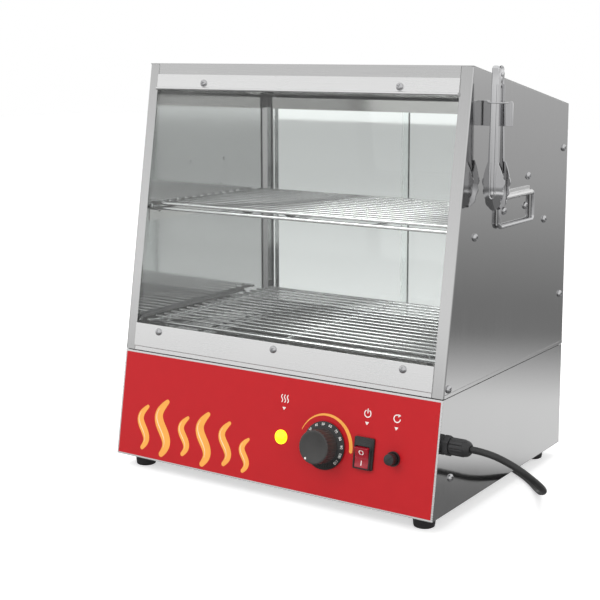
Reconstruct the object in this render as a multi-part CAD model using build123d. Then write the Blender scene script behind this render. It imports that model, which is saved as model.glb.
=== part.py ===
from build123d import *
import os
from math import cos, degrees, pi, radians, sin, sqrt, tan

# Counter-top hot dog steamer: a heated base with a water pan, and a glazed two-tier cabinet on it.
# Millimetres. X runs along the front (right is +X), Y to the rear, Z up from the counter.
# The shapes are drawn with X = 0 in the middle of the cabinet and Y = 0 at the foot of the front,
# and are moved to the model's origin, the middle of the box without the cord, when they are written.

# ---------------------------------------------------------------- driving sizes
BODY_WIDTH = 400.0            # outside of the base
BODY_DEPTH = 310.0            # foot of the front to the back
FOOT_HEIGHT = 15.0
FRONT_LEAN = radians(9.41)    # the front leans back from the upright
FRONT_LENGTH = 439.3          # up the slanted front, base and cabinet
BASE_LENGTH = 117.5           # up the slanted front, base alone
ROOF_FALL = radians(10.5)     # the roof falls to the back
SHEET = 1.0                   # steel sheet of all folded panels
CABINET_OVERHANG = 0.4        # the cabinet is this much wider than the base on each side
SEAM = 1.0                    # gasket between the base and the cabinet
FIT_GAP = 0.5                 # between parts that lie edge to edge
RUNNING_GAP = 0.05            # radial, in bearings and screw threads that turn
SAFE_GAP = 0.35               # between parts that move past each other

# base
OVERLAY_THICK = 0.4
OVERLAY_MARGIN = 2.0
BASE_FLANGE = 12.0
FOOT_RADIUS = 12.0
FOOT_TAPER = 1.2
FOOT_X = 178.5                # feet, from the middle
FOOT_EDGE_Y = 25.0            # feet, from the front foot line and from the back
FOOT_SCREW_RADIUS = 2.0
BASE_SCREW_Y, BASE_SCREW_Z = 37.1, 34.4
SLOT_LENGTH = 60.0            # air slots in the bottom plate
SLOT_WIDTH = 4.0
SLOT_PITCH = 12.0
SLOT_COUNT = 6

# water pan, sunk in the deck of the base
PAN_WIDTH = 330.0
PAN_FRONT_Y = 88.0
PAN_BACK_MARGIN = 24.0        # pan's back wall to the back of the base
PAN_DROP = 66.0
PAN_RIM = 6.0
PAN_CORNER = 16.0
PAN_GAP = 0.5                 # between the pan's wall and the edge of the deck's opening

# heating element, a bent tube over the pan's bottom
ELEMENT_RADIUS = 4.0
ELEMENT_LIFT = 13.0           # centre above the pan's bottom
ELEMENT_LEG_X = 22.0
ELEMENT_LOOP_X = 135.0
ELEMENT_BEND = 18.0
ELEMENT_INSET_Y = 30.0        # loop from the pan's front and back walls
ELEMENT_STUB = 14.0           # of each leg, in front of the pan
ELEMENT_NUT_RADIUS = 9.0
ELEMENT_NUT_LENGTH = 5.0

# control row: places along X and up the slanted front
CONTROL_ROW = 53.5
LAMP_X, LAMP_RADIUS, LAMP_BEZEL = 19.0, 6.2, 7.4
KNOB_X = 72.2
SKIRT_RADIUS, SKIRT_THICK, SKIRT_STANDOFF = 24.5, 3.4, 1.0
CAP_RADIUS, CAP_HEIGHT, CAP_BEVEL = 17.3, 17.0, 0.6
SHAFT_RADIUS = 3.0
THERMOSTAT_DEPTH = 33.0
THERMOSTAT_WIDTH, THERMOSTAT_HEIGHT = 38.0, 34.0
BULB_RADIUS, BULB_LENGTH, BULB_BEHIND = 3.0, 80.0, 40.0
CAPILLARY_RADIUS, CAPILLARY_BEND, CAPILLARY_SIDE = 0.9, 6.0, 50.0
SWITCH_X, SWITCH_WIDTH, SWITCH_HEIGHT, SWITCH_BEZEL = 119.0, 22.6, 32.0, 2.4
COLLAR_RISE, COLLAR_EDGE, COLLAR_WALL = 2.6, 1.2, 1.1
COLLAR_DROP, WINDOW_DROP, BODY_DROP = 0.4, 3.6, 1.0   # middles below the middle of the bezel
SWITCH_BODY_DEPTH, SWITCH_WELL = 22.0, 16.0
ROCKER_WIDTH, ROCKER_LENGTH, ROCKER_TILT = 15.6, 21.0, 10.0
ROCKER_PIVOT, ROCKER_PIN, ROCKER_FACE = 2.2, 1.5, 2.6
RESET_X, RESET_RING, RESET_CAP_RADIUS, RESET_CAP_HEIGHT = 152.4, 7.4, 5.7, 8.5

# slanted front of the cabinet: up the slope from the base, or down from the roof's edge
POST_WIDTH = 12.7
REAR_POST_WIDTH = 10.0
SILL_START = BASE_LENGTH + 1.1
SILL_FOOT = 14.0
RETAINER_START = BASE_LENGTH + 5.4
RETAINER_WIDTH, RETAINER_SCREW_UP = 26.0, 19.0
RETAINER_SCREW_INSET = 33.4   # outer screws from the ends of the strip
GLASS_UNDER_RETAINER = 4.0    # the strip covers this much of the glass's lower edge
GLASS_TOP_INSET, GLASS_THICK = 7.3, 4.0
GLASS_OVER_POST = 4.3         # the posts cover this much of the glass's sides
GLASS_CLIP_INSET, GLASS_CLIP_LENGTH = (51.1, 60.0), 18.0
HEADER_HEIGHT = 29.4
COVER_DROP, COVER_WIDTH, COVER_SCREW_UP = 12.3, 17.5, 8.1
COVER_SCREW_INSET = 65.4
STRIP_THICK = 1.2
LIP_RADIUS = 1.7
SCREW_HEAD, SCREW_HEAD_HEIGHT, SCREW_SHANK = 4.0, 2.6, 2.0
FOLD = 2.0                    # outer radius of the fold between the front posts and the sides
SHELF_SCREW_FRONT, SHELF_SCREW_BACK = 80.6, 61.2
HANDLE_SCREWS = ((-24.6, -14.4), (27.6, -14.0), (33.6, 16.9), (-30.0, 16.9))   # from the bail's top bar
EDGE_SCREW_INSET, UPPER_EDGE_SCREW_DROP, LOWER_EDGE_SCREW_RISE = 12.0, 50.6, 59.4
FRONT_EDGE_SCREW_INSET, FRONT_EDGE_SCREW_RISE = 8.8, 8.1

# racks
SUPPORT_LEG, SUPPORT_SHELF, SUPPORT_SHEET = 14.0, 13.0, 1.2
BUN_SHELF_RISE = 154.3        # above the deck of the base
BUN_FRONT_Y, BUN_BACK_MARGIN = 60.0, 28.0
DOG_FRONT_Y, DOG_BACK_MARGIN = 42.0, 26.0
DOG_RACK_RISE = 30.6
RACK_WIRE, DECK_WIRE = 2.0, 1.3
DECK_PITCH = 14.0
WELD_SINK = 0.4               # crossing wires sink into each other where they are welded
RACK_SIDE_GAP = 4.0
BUN_RAIL_RISE, BUN_RAIL_WIRE, BUN_RAIL_BEND = 5.8, 1.6, 4.0
DOG_SIDE_GAP = 12.4           # rack's wire ends to the walls
DOG_LEG_INSET, DOG_LEG_BEND = 7.0, 7.0
DOG_LEG_FRONT, DOG_LEG_BACK = 24.0, 10.0

# sliding doors
DOOR_THICK, DOOR_PITCH, GROOVE_PLAY = 4.0, 7.6, 0.4
TRACK_LIP, TRACK_FLOOR, TRACK_LOWER, TRACK_UPPER = 1.2, 1.5, 9.0, 14.0
DOOR_OVERLAP = 12.0
PULL_RADIUS, PULL_INSET, PULL_FLANGE = 13.0, 24.0, 0.7

# bail handles on both walls
BAIL_RADIUS = 2.1
BAIL_Y, BAIL_LENGTH, BAIL_DROP, BAIL_CORNER = 170.4, 82.0, 29.4, 4.2
BAIL_RISE = 184.5             # its top bar above the deck of the base
BRACKET_SHEET, BRACKET_LENGTH = 0.8, 72.0
BRACKET_ABOVE = 6.6

# tongs on their holder at the right wall
HOLDER_Y, HOLDER_SHEET, HOLDER_REACH = 92.6, 1.2, 32.3
HOLDER_BELOW_TOP, HOLDER_HEIGHT, HOLDER_SADDLE = 33.8, 24.3, 2.6   # below the front's upper end
HOLDER_FLANGE = 14.0
HOLDER_HORN, HOLDER_HORN_TIP, HOLDER_SHOULDER = 5.4, 2.0, 5.0
TONGS_OUT = 16.8              # middle of the tongs from the wall
TONGS_FORWARD = 1.0           # middle of the tongs in front of the holder's plate
TONGS_ABOVE_HOLDER = 25.1     # pin above the holder's upper edge
TONGS_LENGTH = 131.4          # pin to tip
ARM_SHEET, ARM_DEPTH = 0.8, 4.4
ARM_TOP_WIDTH, ARM_NECK_WIDTH = 7.8, 10.8
ARM_TOP_SPREAD, ARM_NECK_SPREAD = 7.4, 9.8   # outside of an arm from the tongs' middle plane
ARM_FIT = 0.4                 # the rear arm's ears inside the front arm's
EAR_RADIUS, EAR_TOP, EAR_REACH = 5.4, 8.6, 13.0
RIB_HALF, RIB_RADIUS, RIB_STAND, RIB_START, RIB_END = 2.7, 1.2, 0.6, 9.2, 14.7
HEAD_LENGTH, HEAD_SHEET = 47.4, 1.0
HEAD_CROSS_RADIUS, HEAD_LONG_RADIUS = 21.5, 62.0
HEAD_OUTLINE = ((10.6, 34.0), (10.2, 24.0), (8.0, 12.0), (4.0, 2.6))   # half width, height above the tip
LOBES, LOBE_RADIUS = ((6.9, 28.0), (5.7, 18.3), (2.9, 8.6)), 5.4      # middles, as above
TONGS_PIN_RADIUS = 1.5
TONGS_OPENING = 2.5           # degrees that the rear arm swings outward
RING_WIRE, RING_HALF_X, RING_CORNER = 0.6, 8.6, 6.0

# cable gland, cord and plug
GLAND_Y, GLAND_Z = 25.0, 71.0
GLAND_HEX, GLAND_HEX_LENGTH = 10.4, 7.0
GLAND_NUT, GLAND_NUT_LENGTH, GLAND_THREAD = 8.6, 21.0, 7.2
GLAND_RIBS = 12
CORD_DIAMETER = 6.8
COIL_OUTER, COIL_PITCH = 46.0, 7.4
COIL_CENTRE = (64.0, 378.0)
COIL_TAIL = 30.0
PLUG_LENGTH, PLUG_WIDTH = 34.0, 26.0
PLUG_BLADE = (6.3, 1.5, 17.0)
PLUG_BLADE_SPACING, PLUG_EARTH_RADIUS, PLUG_EARTH_OFFSET = 12.7, 2.4, 8.2

# drain valve on the back
DRAIN_X, DRAIN_PIPE_RADIUS, DRAIN_BORE_RADIUS, DRAIN_BELOW_PAN = -120.0, 6.0, 4.0, 18.0
DRAIN_FROM_PAN_BACK, DRAIN_BEHIND, DRAIN_BEND = 24.0, 4.0, 9.0
DRAIN_BODY_RADIUS, DRAIN_BODY_LENGTH, DRAIN_SPOUT = 9.5, 20.0, 12.0
DRAIN_BOSS = 3.0
DRAIN_LEVER = (38.0, 9.0, 2.5)
DRAIN_STEM_RADIUS = 3.0

# ---------------------------------------------------------------- worked out from them
HALF_WIDTH = BODY_WIDTH / 2
CABINET_HALF = HALF_WIDTH + CABINET_OVERHANG
WALL_IN = CABINET_HALF - SHEET                         # inner face of a cabinet side
DECK_Z = FOOT_HEIGHT + BASE_LENGTH * cos(FRONT_LEAN)   # top of the base
CABINET_Z = DECK_Z + SEAM                              # bottom of the cabinet
POST_X = CABINET_HALF - POST_WIDTH                     # inner edge of a front post
TOP_Y = FRONT_LENGTH * sin(FRONT_LEAN)
TOP_Z = FOOT_HEIGHT + FRONT_LENGTH * cos(FRONT_LEAN)
GLASS_FACE = -SHEET                                    # the glass lies against the posts
GLASS_BACK = GLASS_FACE - GLASS_THICK
PAN_BOTTOM_Z = DECK_Z - PAN_DROP
PAN_BACK_Y = BODY_DEPTH - PAN_BACK_MARGIN
RETAINER_END = RETAINER_START + RETAINER_WIDTH
RETAINER_SCREW = RETAINER_START + RETAINER_SCREW_UP
RETAINER_SCREW_X = POST_X - RETAINER_SCREW_INSET
GLASS_START = RETAINER_END - GLASS_UNDER_RETAINER
GLASS_END = FRONT_LENGTH - GLASS_TOP_INSET
GLASS_WIDTH = 2 * (POST_X + GLASS_OVER_POST)
GLASS_CLIPS = (GLASS_START + GLASS_CLIP_INSET[0], GLASS_END - GLASS_CLIP_INSET[1])
HEADER_START = FRONT_LENGTH - HEADER_HEIGHT
COVER_END = FRONT_LENGTH - COVER_DROP
COVER_START = COVER_END - COVER_WIDTH
COVER_SCREW = COVER_START + COVER_SCREW_UP
COVER_SCREW_X = POST_X - COVER_SCREW_INSET
BUN_SHELF_Z = DECK_Z + BUN_SHELF_RISE
BUN_BACK_Y = BODY_DEPTH - BUN_BACK_MARGIN
DOG_BACK_Y = BODY_DEPTH - DOG_BACK_MARGIN
DOG_HALF_X = WALL_IN - DOG_SIDE_GAP
DOG_LEG_X = DOG_HALF_X - DOG_LEG_INSET
BAIL_TOP_Z = DECK_Z + BAIL_RISE
HOLDER_TOP_Z = TOP_Z - HOLDER_BELOW_TOP
HOLDER_BOTTOM_Z = HOLDER_TOP_Z - HOLDER_HEIGHT
TONGS_Y = HOLDER_Y - TONGS_FORWARD
TONGS_PIVOT_Z = HOLDER_TOP_Z + TONGS_ABOVE_HOLDER
TONGS_TIP_Z = TONGS_PIVOT_Z - TONGS_LENGTH
TRACK_DEPTH = 2 * DOOR_THICK + (DOOR_PITCH - DOOR_THICK) + 4 * GROOVE_PLAY / 2 + 2 * TRACK_LIP
TRACK_BACK_Y = BODY_DEPTH - SHEET
TRACK_FRONT_Y = TRACK_BACK_Y - TRACK_DEPTH
TONGS_X = CABINET_HALF + TONGS_OUT
CORD_RADIUS = CORD_DIAMETER / 2
FRONT = Plane(
    origin=(0, 0, FOOT_HEIGHT),
    x_dir=(1, 0, 0),
    z_dir=(0, -cos(FRONT_LEAN), sin(FRONT_LEAN)),
)                                                      # local x, up the slope, outward

nodes = {}


def keep(name, shape):
    """Files a finished piece under its name."""
    nodes[name] = shape


def roof_z(y):
    """Height of the roof's upper face at y."""
    return TOP_Z - (y - TOP_Y) * tan(ROOF_FALL)


def front_y(z, out=0.0):
    """Where the slanted front, moved outward by `out`, stands at height z."""
    up_slope = (z - FOOT_HEIGHT - out * sin(FRONT_LEAN)) / cos(FRONT_LEAN)
    return up_slope * sin(FRONT_LEAN) - out * cos(FRONT_LEAN)


def block(x, y, z):
    """Box between two x, two y and two z."""
    middle = [(low + high) / 2 for low, high in (x, y, z)]
    return Pos(*middle) * Box(x[1] - x[0], y[1] - y[0], z[1] - z[0])


def on_front(x, up, out):
    """Box in the slanted front's own directions."""
    return FRONT.location * block(x, up, out)


def prism_x(points, x0, x1):
    """Outline in (y, z), drawn out along X."""
    face = make_face(Polyline(*points, close=True))
    return extrude(Plane.YZ.offset(x0) * face, x1 - x0)


def rod_x(x0, x1, y, z, radius):
    return Pos((x0 + x1) / 2, y, z) * Rot(0, 90, 0) * Cylinder(radius, x1 - x0)


def rod_y(x, y0, y1, z, radius):
    return Pos(x, (y0 + y1) / 2, z) * Rot(90, 0, 0) * Cylinder(radius, y1 - y0)


def rod_z(x, y, z0, z1, radius):
    return Pos(x, y, (z0 + z1) / 2) * Cylinder(radius, z1 - z0)


def mirrored(shape):
    """The same piece for the other side."""
    return mirror(shape, about=Plane.YZ)


def pan_screw(length=4.0):
    """Pan-head screw along Z: the head stands on z = 0, the shank goes below."""
    head = Cone(SCREW_HEAD, SCREW_HEAD * 0.72, SCREW_HEAD_HEIGHT, align=(Align.CENTER, Align.CENTER, Align.MIN))
    shank = Pos(0, 0, -length / 2) * Cylinder(SCREW_SHANK, length)
    return head + shank


def wire_tube(path, radius):
    """Round wire along a path."""
    start = path @ 0
    return sweep(Plane(origin=start, z_dir=path % 0) * Circle(radius), path=path)


# ---------------------------------------------------------------- base
def front_top(inset, drop):
    """Where the front, moved inward, meets the roof's upper face, lowered by `drop`."""
    lean = tan(FRONT_LEAN)
    fall = tan(ROOF_FALL)
    height = TOP_Z - drop - FOOT_HEIGHT + TOP_Y * fall
    y = (height * lean + inset / cos(FRONT_LEAN)) / (1 + lean * fall)
    return y, roof_z(y) - drop


def cabinet_outline(inset, bottom, drop):
    """Side outline in (y, z): the front and back moved inward, the roof line lowered."""
    back = BODY_DEPTH - inset
    upper_back = (back, roof_z(back) - drop)
    return [(front_y(bottom, -inset), bottom), (back, bottom), upper_back, front_top(inset, drop)]


def base_outline(front_out, back, bottom, top):
    return [(front_y(bottom, front_out), bottom), (back, bottom), (back, top), (front_y(top, front_out), top)]


def pan_block(grow, z0, z1):
    """Rounded block with the pan's plan, grown by `grow`."""
    plan = RectangleRounded(
        PAN_WIDTH + 2 * grow, PAN_BACK_Y - PAN_FRONT_Y + 2 * grow, PAN_CORNER + grow
    )
    return extrude(Pos(0, (PAN_FRONT_Y + PAN_BACK_Y) / 2, z0) * plan, z1 - z0)


def gland_hole(radius):
    return rod_x(HALF_WIDTH - 3 * SHEET, HALF_WIDTH + SHEET, GLAND_Y, FOOT_HEIGHT + GLAND_Z, radius)


def base_shell():
    """Folded sides, back and deck; open below, and open in front where the front panel closes it."""
    panel_back = -OVERLAY_THICK - SHEET
    outer = prism_x(base_outline(panel_back, BODY_DEPTH, FOOT_HEIGHT, DECK_Z), -HALF_WIDTH, HALF_WIDTH)
    flange_top = FOOT_HEIGHT + SHEET
    room = prism_x(
        base_outline(SHEET, BODY_DEPTH - SHEET, flange_top, DECK_Z - SHEET),
        -HALF_WIDTH + SHEET,
        HALF_WIDTH - SHEET,
    )
    bottom = block(
        (-HALF_WIDTH + BASE_FLANGE, HALF_WIDTH - BASE_FLANGE),
        (-BASE_FLANGE, BODY_DEPTH - BASE_FLANGE),
        (FOOT_HEIGHT - SHEET, flange_top + SHEET),
    )
    shell = outer - room - bottom - pan_block(PAN_GAP, DECK_Z - 2 * SHEET, DECK_Z + SHEET)
    shell -= gland_hole(GLAND_THREAD)
    shell -= rod_y(DRAIN_X, BODY_DEPTH - 2 * SHEET, BODY_DEPTH + SHEET, drain_z(), DRAIN_PIPE_RADIUS + FIT_GAP)
    shell -= rod_x(-HALF_WIDTH - 1, HALF_WIDTH + 1, BASE_SCREW_Y, FOOT_HEIGHT + BASE_SCREW_Z, SCREW_SHANK)
    for x, y in foot_places():
        shell -= rod_z(x, y, FOOT_HEIGHT - SHEET, flange_top + SHEET, FOOT_SCREW_RADIUS)
    return shell


def control_holes(thick, back):
    """The holes that the control row needs, through a plate whose back is at `back`."""
    depth = (back - 1.0, back + thick + 1.0)
    length = depth[1] - depth[0]
    middle = (depth[0] + depth[1]) / 2
    holes = FRONT.location * Pos(LAMP_X, CONTROL_ROW, middle) * Cylinder(LAMP_RADIUS - 1.4, length)
    holes += FRONT.location * Pos(KNOB_X, CONTROL_ROW, middle) * Cylinder(SHAFT_RADIUS + 2.0, length)
    holes += FRONT.location * Pos(RESET_X, CONTROL_ROW, middle) * Cylinder(RESET_CAP_RADIUS, length)
    holes += FRONT.location * Pos(SWITCH_X, CONTROL_ROW - BODY_DROP, middle) * Box(*switch_body_size(), length)
    return holes


def switch_body_size():
    """Width and height of the switch's body, which its bezel covers all round."""
    return SWITCH_WIDTH - 4.0, SWITCH_HEIGHT - 4.0


def base_front_panel():
    out = (-OVERLAY_THICK - SHEET, -OVERLAY_THICK)
    plate = prism_x(
        [
            (front_y(FOOT_HEIGHT, out[0]), FOOT_HEIGHT),
            (front_y(DECK_Z, out[0]), DECK_Z),
            (front_y(DECK_Z, out[1]), DECK_Z),
            (front_y(FOOT_HEIGHT, out[1]), FOOT_HEIGHT),
        ],
        -HALF_WIDTH,
        HALF_WIDTH,
    )
    return plate - control_holes(SHEET, out[0])


def panel_overlay():
    """Thin printed sheet on the front panel."""
    sheet = on_front(
        (-HALF_WIDTH + OVERLAY_MARGIN, HALF_WIDTH - OVERLAY_MARGIN),
        (OVERLAY_MARGIN, BASE_LENGTH - OVERLAY_MARGIN),
        (-OVERLAY_THICK, 0),
    )
    return sheet - control_holes(OVERLAY_THICK, -OVERLAY_THICK)


def foot_places():
    return [(side * FOOT_X, y) for y in (FOOT_EDGE_Y, BODY_DEPTH - FOOT_EDGE_Y) for side in (-1, 1)]


def base_bottom_plate():
    """Lies on the base's bottom flanges, with air slots."""
    z = (FOOT_HEIGHT + SHEET, FOOT_HEIGHT + 2 * SHEET)
    side = HALF_WIDTH - SHEET - FIT_GAP
    front = front_y(z[1], -OVERLAY_THICK - SHEET) + FIT_GAP
    plate = block((-side, side), (front, BODY_DEPTH - SHEET - FIT_GAP), z)
    for x, y in foot_places():
        plate -= rod_z(x, y, z[0] - SHEET, z[1] + SHEET, FOOT_SCREW_RADIUS)
    first = -(SLOT_COUNT - 1) * SLOT_PITCH / 2
    slot_y = (BODY_DEPTH / 2 - SLOT_LENGTH / 2, BODY_DEPTH / 2 + SLOT_LENGTH / 2)
    for bank_x in (-HALF_WIDTH / 2, HALF_WIDTH / 2):
        for index in range(SLOT_COUNT):
            x = bank_x + first + index * SLOT_PITCH
            plate -= block((x - SLOT_WIDTH / 2, x + SLOT_WIDTH / 2), slot_y, (z[0] - 1, z[1] + 1))
    return plate


def foot(x, y):
    """Rubber foot, wider at the top, with a recess for its screw."""
    body = Pos(x, y, 0) * Cone(
        FOOT_RADIUS - FOOT_TAPER, FOOT_RADIUS, FOOT_HEIGHT, align=(Align.CENTER, Align.CENTER, Align.MIN)
    )
    recess = rod_z(x, y, -1, FOOT_HEIGHT / 2, SCREW_HEAD + 1.0)
    bore = rod_z(x, y, 0, FOOT_HEIGHT + 1, FOOT_SCREW_RADIUS)
    return body - recess - bore


def base_side_screws():
    """One in each side of the base, low at the front, holding the front panel's returns."""
    right = Pos(HALF_WIDTH, BASE_SCREW_Y, FOOT_HEIGHT + BASE_SCREW_Z) * Rot(0, 90, 0) * pan_screw(SHEET + 3.0)
    return Compound([right, mirrored(right)])


def foot_screw(x, y):
    seat = FOOT_HEIGHT / 2
    return Pos(x, y, seat) * Rot(180, 0, 0) * pan_screw(FOOT_HEIGHT - seat + 2 * SHEET + 2.0)


# ---------------------------------------------------------------- water pan, heater and drain
def drain_z():
    return PAN_BOTTOM_Z - DRAIN_BELOW_PAN


def element_z():
    return PAN_BOTTOM_Z + SHEET + ELEMENT_LIFT


def water_pan():
    """Open pan with a rim on the deck, holes for the element's legs and the drain."""
    pan = pan_block(0, PAN_BOTTOM_Z, DECK_Z + SHEET) + pan_block(PAN_RIM, DECK_Z, DECK_Z + SHEET)
    pan -= pan_block(-SHEET, PAN_BOTTOM_Z + SHEET, DECK_Z + 2 * SHEET)
    for x in (-ELEMENT_LEG_X, ELEMENT_LEG_X):
        pan -= rod_y(x, PAN_FRONT_Y - SHEET, PAN_FRONT_Y + 2 * SHEET, element_z(), ELEMENT_RADIUS)
    pan -= rod_z(DRAIN_X, drain_y(), PAN_BOTTOM_Z - 1, PAN_BOTTOM_Z + 2 * SHEET, DRAIN_BORE_RADIUS)
    return pan


def heating_element():
    """One bent tube: two legs through the pan's front wall and a wide loop over its bottom."""
    z = element_z()
    start_y = PAN_FRONT_Y - ELEMENT_STUB
    near = PAN_FRONT_Y + ELEMENT_INSET_Y
    far = PAN_BACK_Y - ELEMENT_INSET_Y
    half = [
        (ELEMENT_LEG_X, start_y, z),
        (ELEMENT_LEG_X, near, z),
        (ELEMENT_LOOP_X, near, z),
        (ELEMENT_LOOP_X, far, z),
    ]
    points = half + [(-x, y, z) for x, y, z in reversed(half)]
    tube = wire_tube(FilletPolyline(*points, radius=ELEMENT_BEND), ELEMENT_RADIUS)
    for x in (-ELEMENT_LEG_X, ELEMENT_LEG_X):
        nut = Pos(x, PAN_FRONT_Y - ELEMENT_NUT_LENGTH, z) * Rot(-90, 0, 0) * extrude(
            RegularPolygon(ELEMENT_NUT_RADIUS, 6), ELEMENT_NUT_LENGTH
        )
        tube += nut
    return tube


def drain_y():
    return PAN_BACK_Y - DRAIN_FROM_PAN_BACK


def drain_valve_body():
    """Elbow under the pan, pipe through the back, valve body with a boss and a spout."""
    z = drain_z()
    body_start = BODY_DEPTH + DRAIN_BEHIND
    path = FilletPolyline(
        (DRAIN_X, drain_y(), PAN_BOTTOM_Z),
        (DRAIN_X, drain_y(), z),
        (DRAIN_X, body_start, z),
        radius=DRAIN_BEND,
    )
    pipe = wire_tube(path, DRAIN_PIPE_RADIUS) - wire_tube(path, DRAIN_BORE_RADIUS)
    body_end = body_start + DRAIN_BODY_LENGTH
    body = Pos(DRAIN_X, body_start, z) * Rot(-90, 0, 0) * extrude(
        RegularPolygon(DRAIN_BODY_RADIUS, 8), DRAIN_BODY_LENGTH
    )
    spout = rod_y(DRAIN_X, body_end, body_end + DRAIN_SPOUT, z, DRAIN_PIPE_RADIUS)
    boss_top = z + DRAIN_BODY_RADIUS + DRAIN_BOSS
    boss = rod_z(DRAIN_X, body_start + DRAIN_BODY_LENGTH / 2, z, boss_top, DRAIN_STEM_RADIUS + 2.5)
    valve = body + spout + boss
    valve -= rod_y(DRAIN_X, body_end - 4.0, body_end + DRAIN_SPOUT + 1, z, DRAIN_BORE_RADIUS)
    valve -= rod_z(
        DRAIN_X, body_start + DRAIN_BODY_LENGTH / 2, z + 2.0, boss_top + 1, DRAIN_STEM_RADIUS + RUNNING_GAP
    )
    return pipe + valve


def drain_valve_lever():
    """Stem and flat lever, along the spout while the valve is shut across it."""
    length, width, thick = DRAIN_LEVER
    y = BODY_DEPTH + DRAIN_BEHIND + DRAIN_BODY_LENGTH / 2
    z = drain_z() + DRAIN_BODY_RADIUS + DRAIN_BOSS + SAFE_GAP
    stem = rod_z(DRAIN_X, y, drain_z() + 3.0, z + thick, DRAIN_STEM_RADIUS)
    x = (DRAIN_X + width - length, DRAIN_X + width / 2)
    grip = block(x, (y - width / 2, y + width / 2), (z, z + thick))
    return stem + fillet(grip.edges().filter_by(Axis.Z), width * 0.35)


# ---------------------------------------------------------------- control row
def at_front(x, out=0.0):
    """Place on the control row, its own Z pointing outward."""
    return FRONT.location * Pos(x, CONTROL_ROW, out)


def cylinder_out(radius, start, end):
    return Pos(0, 0, (start + end) / 2) * Cylinder(radius, end - start)


def indicator_lamp_body():
    inner = LAMP_RADIUS - 1.4
    back = -OVERLAY_THICK - SHEET
    body = cylinder_out(inner, back - 14.0, 0) + cylinder_out(LAMP_BEZEL, 0, 1.0)
    body += cylinder_out(inner + 2.4, back - 4.0, back)
    body -= cylinder_out(inner - 1.4, -3.0, 1.1)
    return at_front(LAMP_X) * body


def indicator_lamp_lens():
    """Domed lens with a plug behind it."""
    dome_height = 3.4
    sphere_radius = (LAMP_RADIUS ** 2 + dome_height ** 2) / (2 * dome_height)
    dome = Pos(0, 0, 1.0 + dome_height - sphere_radius) * Sphere(sphere_radius)
    dome &= cylinder_out(LAMP_RADIUS, 1.0, 1.0 + dome_height + 1)
    return at_front(LAMP_X) * (dome + cylinder_out(LAMP_RADIUS - 2.8, -3.0, 1.0))


def thermostat_body():
    back = -OVERLAY_THICK - SHEET
    case_depth = THERMOSTAT_DEPTH - 7.0
    case = Pos(0, 0, back - 2.0 - case_depth / 2) * Box(THERMOSTAT_WIDTH, THERMOSTAT_HEIGHT, case_depth)
    nose = cylinder_out(9.0, back - 3.0, back)
    body = case + nose + Pos(0, 0, back - THERMOSTAT_DEPTH + 3.0) * Box(30.0, 6.0, 6.0)
    return at_front(KNOB_X) * (body - cylinder_out(SHAFT_RADIUS + RUNNING_GAP, back - 16.0, back + 1.0))


def thermostat_shaft():
    top = SKIRT_STANDOFF + SKIRT_THICK + CAP_HEIGHT * 0.6
    return at_front(KNOB_X) * cylinder_out(SHAFT_RADIUS, -OVERLAY_THICK - SHEET - 15.0, top)


def thermostat_knob():
    """Flat skirt and a tall cap with a fine grip edge, hollow behind."""
    skirt_top = SKIRT_STANDOFF + SKIRT_THICK
    top = skirt_top + CAP_HEIGHT
    profile = [
        (0, SKIRT_STANDOFF),
        (SKIRT_RADIUS, SKIRT_STANDOFF),
        (SKIRT_RADIUS, SKIRT_STANDOFF + 1.2),
        (CAP_RADIUS + 1.0, skirt_top),
        (CAP_RADIUS + 0.4, skirt_top),
        (CAP_RADIUS, top - CAP_BEVEL),
        (CAP_RADIUS - CAP_BEVEL, top),
        (0, top),
    ]
    turned = revolve(Plane.XZ * make_face(Polyline(*profile, close=True)), Axis.Z)
    hollow = cylinder_out(CAP_RADIUS - 2.2, SKIRT_STANDOFF - 1, top - 3.0)
    hub = cylinder_out(SHAFT_RADIUS + 2.4, SKIRT_STANDOFF, top - 2.0)
    bore = cylinder_out(SHAFT_RADIUS, SKIRT_STANDOFF - 1, skirt_top + CAP_HEIGHT * 0.6)
    return at_front(KNOB_X) * (turned - hollow + hub - bore)


def thermostat_bulb():
    """Sensing bulb under the pan, on its thin tube from the thermostat."""
    z = PAN_BOTTOM_Z - BULB_RADIUS
    y = PAN_FRONT_Y + BULB_BEHIND
    end = KNOB_X + BULB_LENGTH / 2
    bulb = rod_x(KNOB_X - BULB_LENGTH / 2, end, y, z, BULB_RADIUS)
    begin = (at_front(KNOB_X, -OVERLAY_THICK - SHEET - THERMOSTAT_DEPTH)).position + Vector(0, 0.4, 0)
    path = FilletPolyline(
        begin,
        (KNOB_X, begin.Y + BULB_BEHIND / 2, begin.Z),
        (KNOB_X + CAPILLARY_SIDE, y - BULB_BEHIND / 2, z),
        (end + 3 * CAPILLARY_BEND, y, z),
        (end - CAPILLARY_RADIUS, y, z),
        radius=CAPILLARY_BEND,
    )
    return bulb + wire_tube(path, CAPILLARY_RADIUS)


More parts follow.
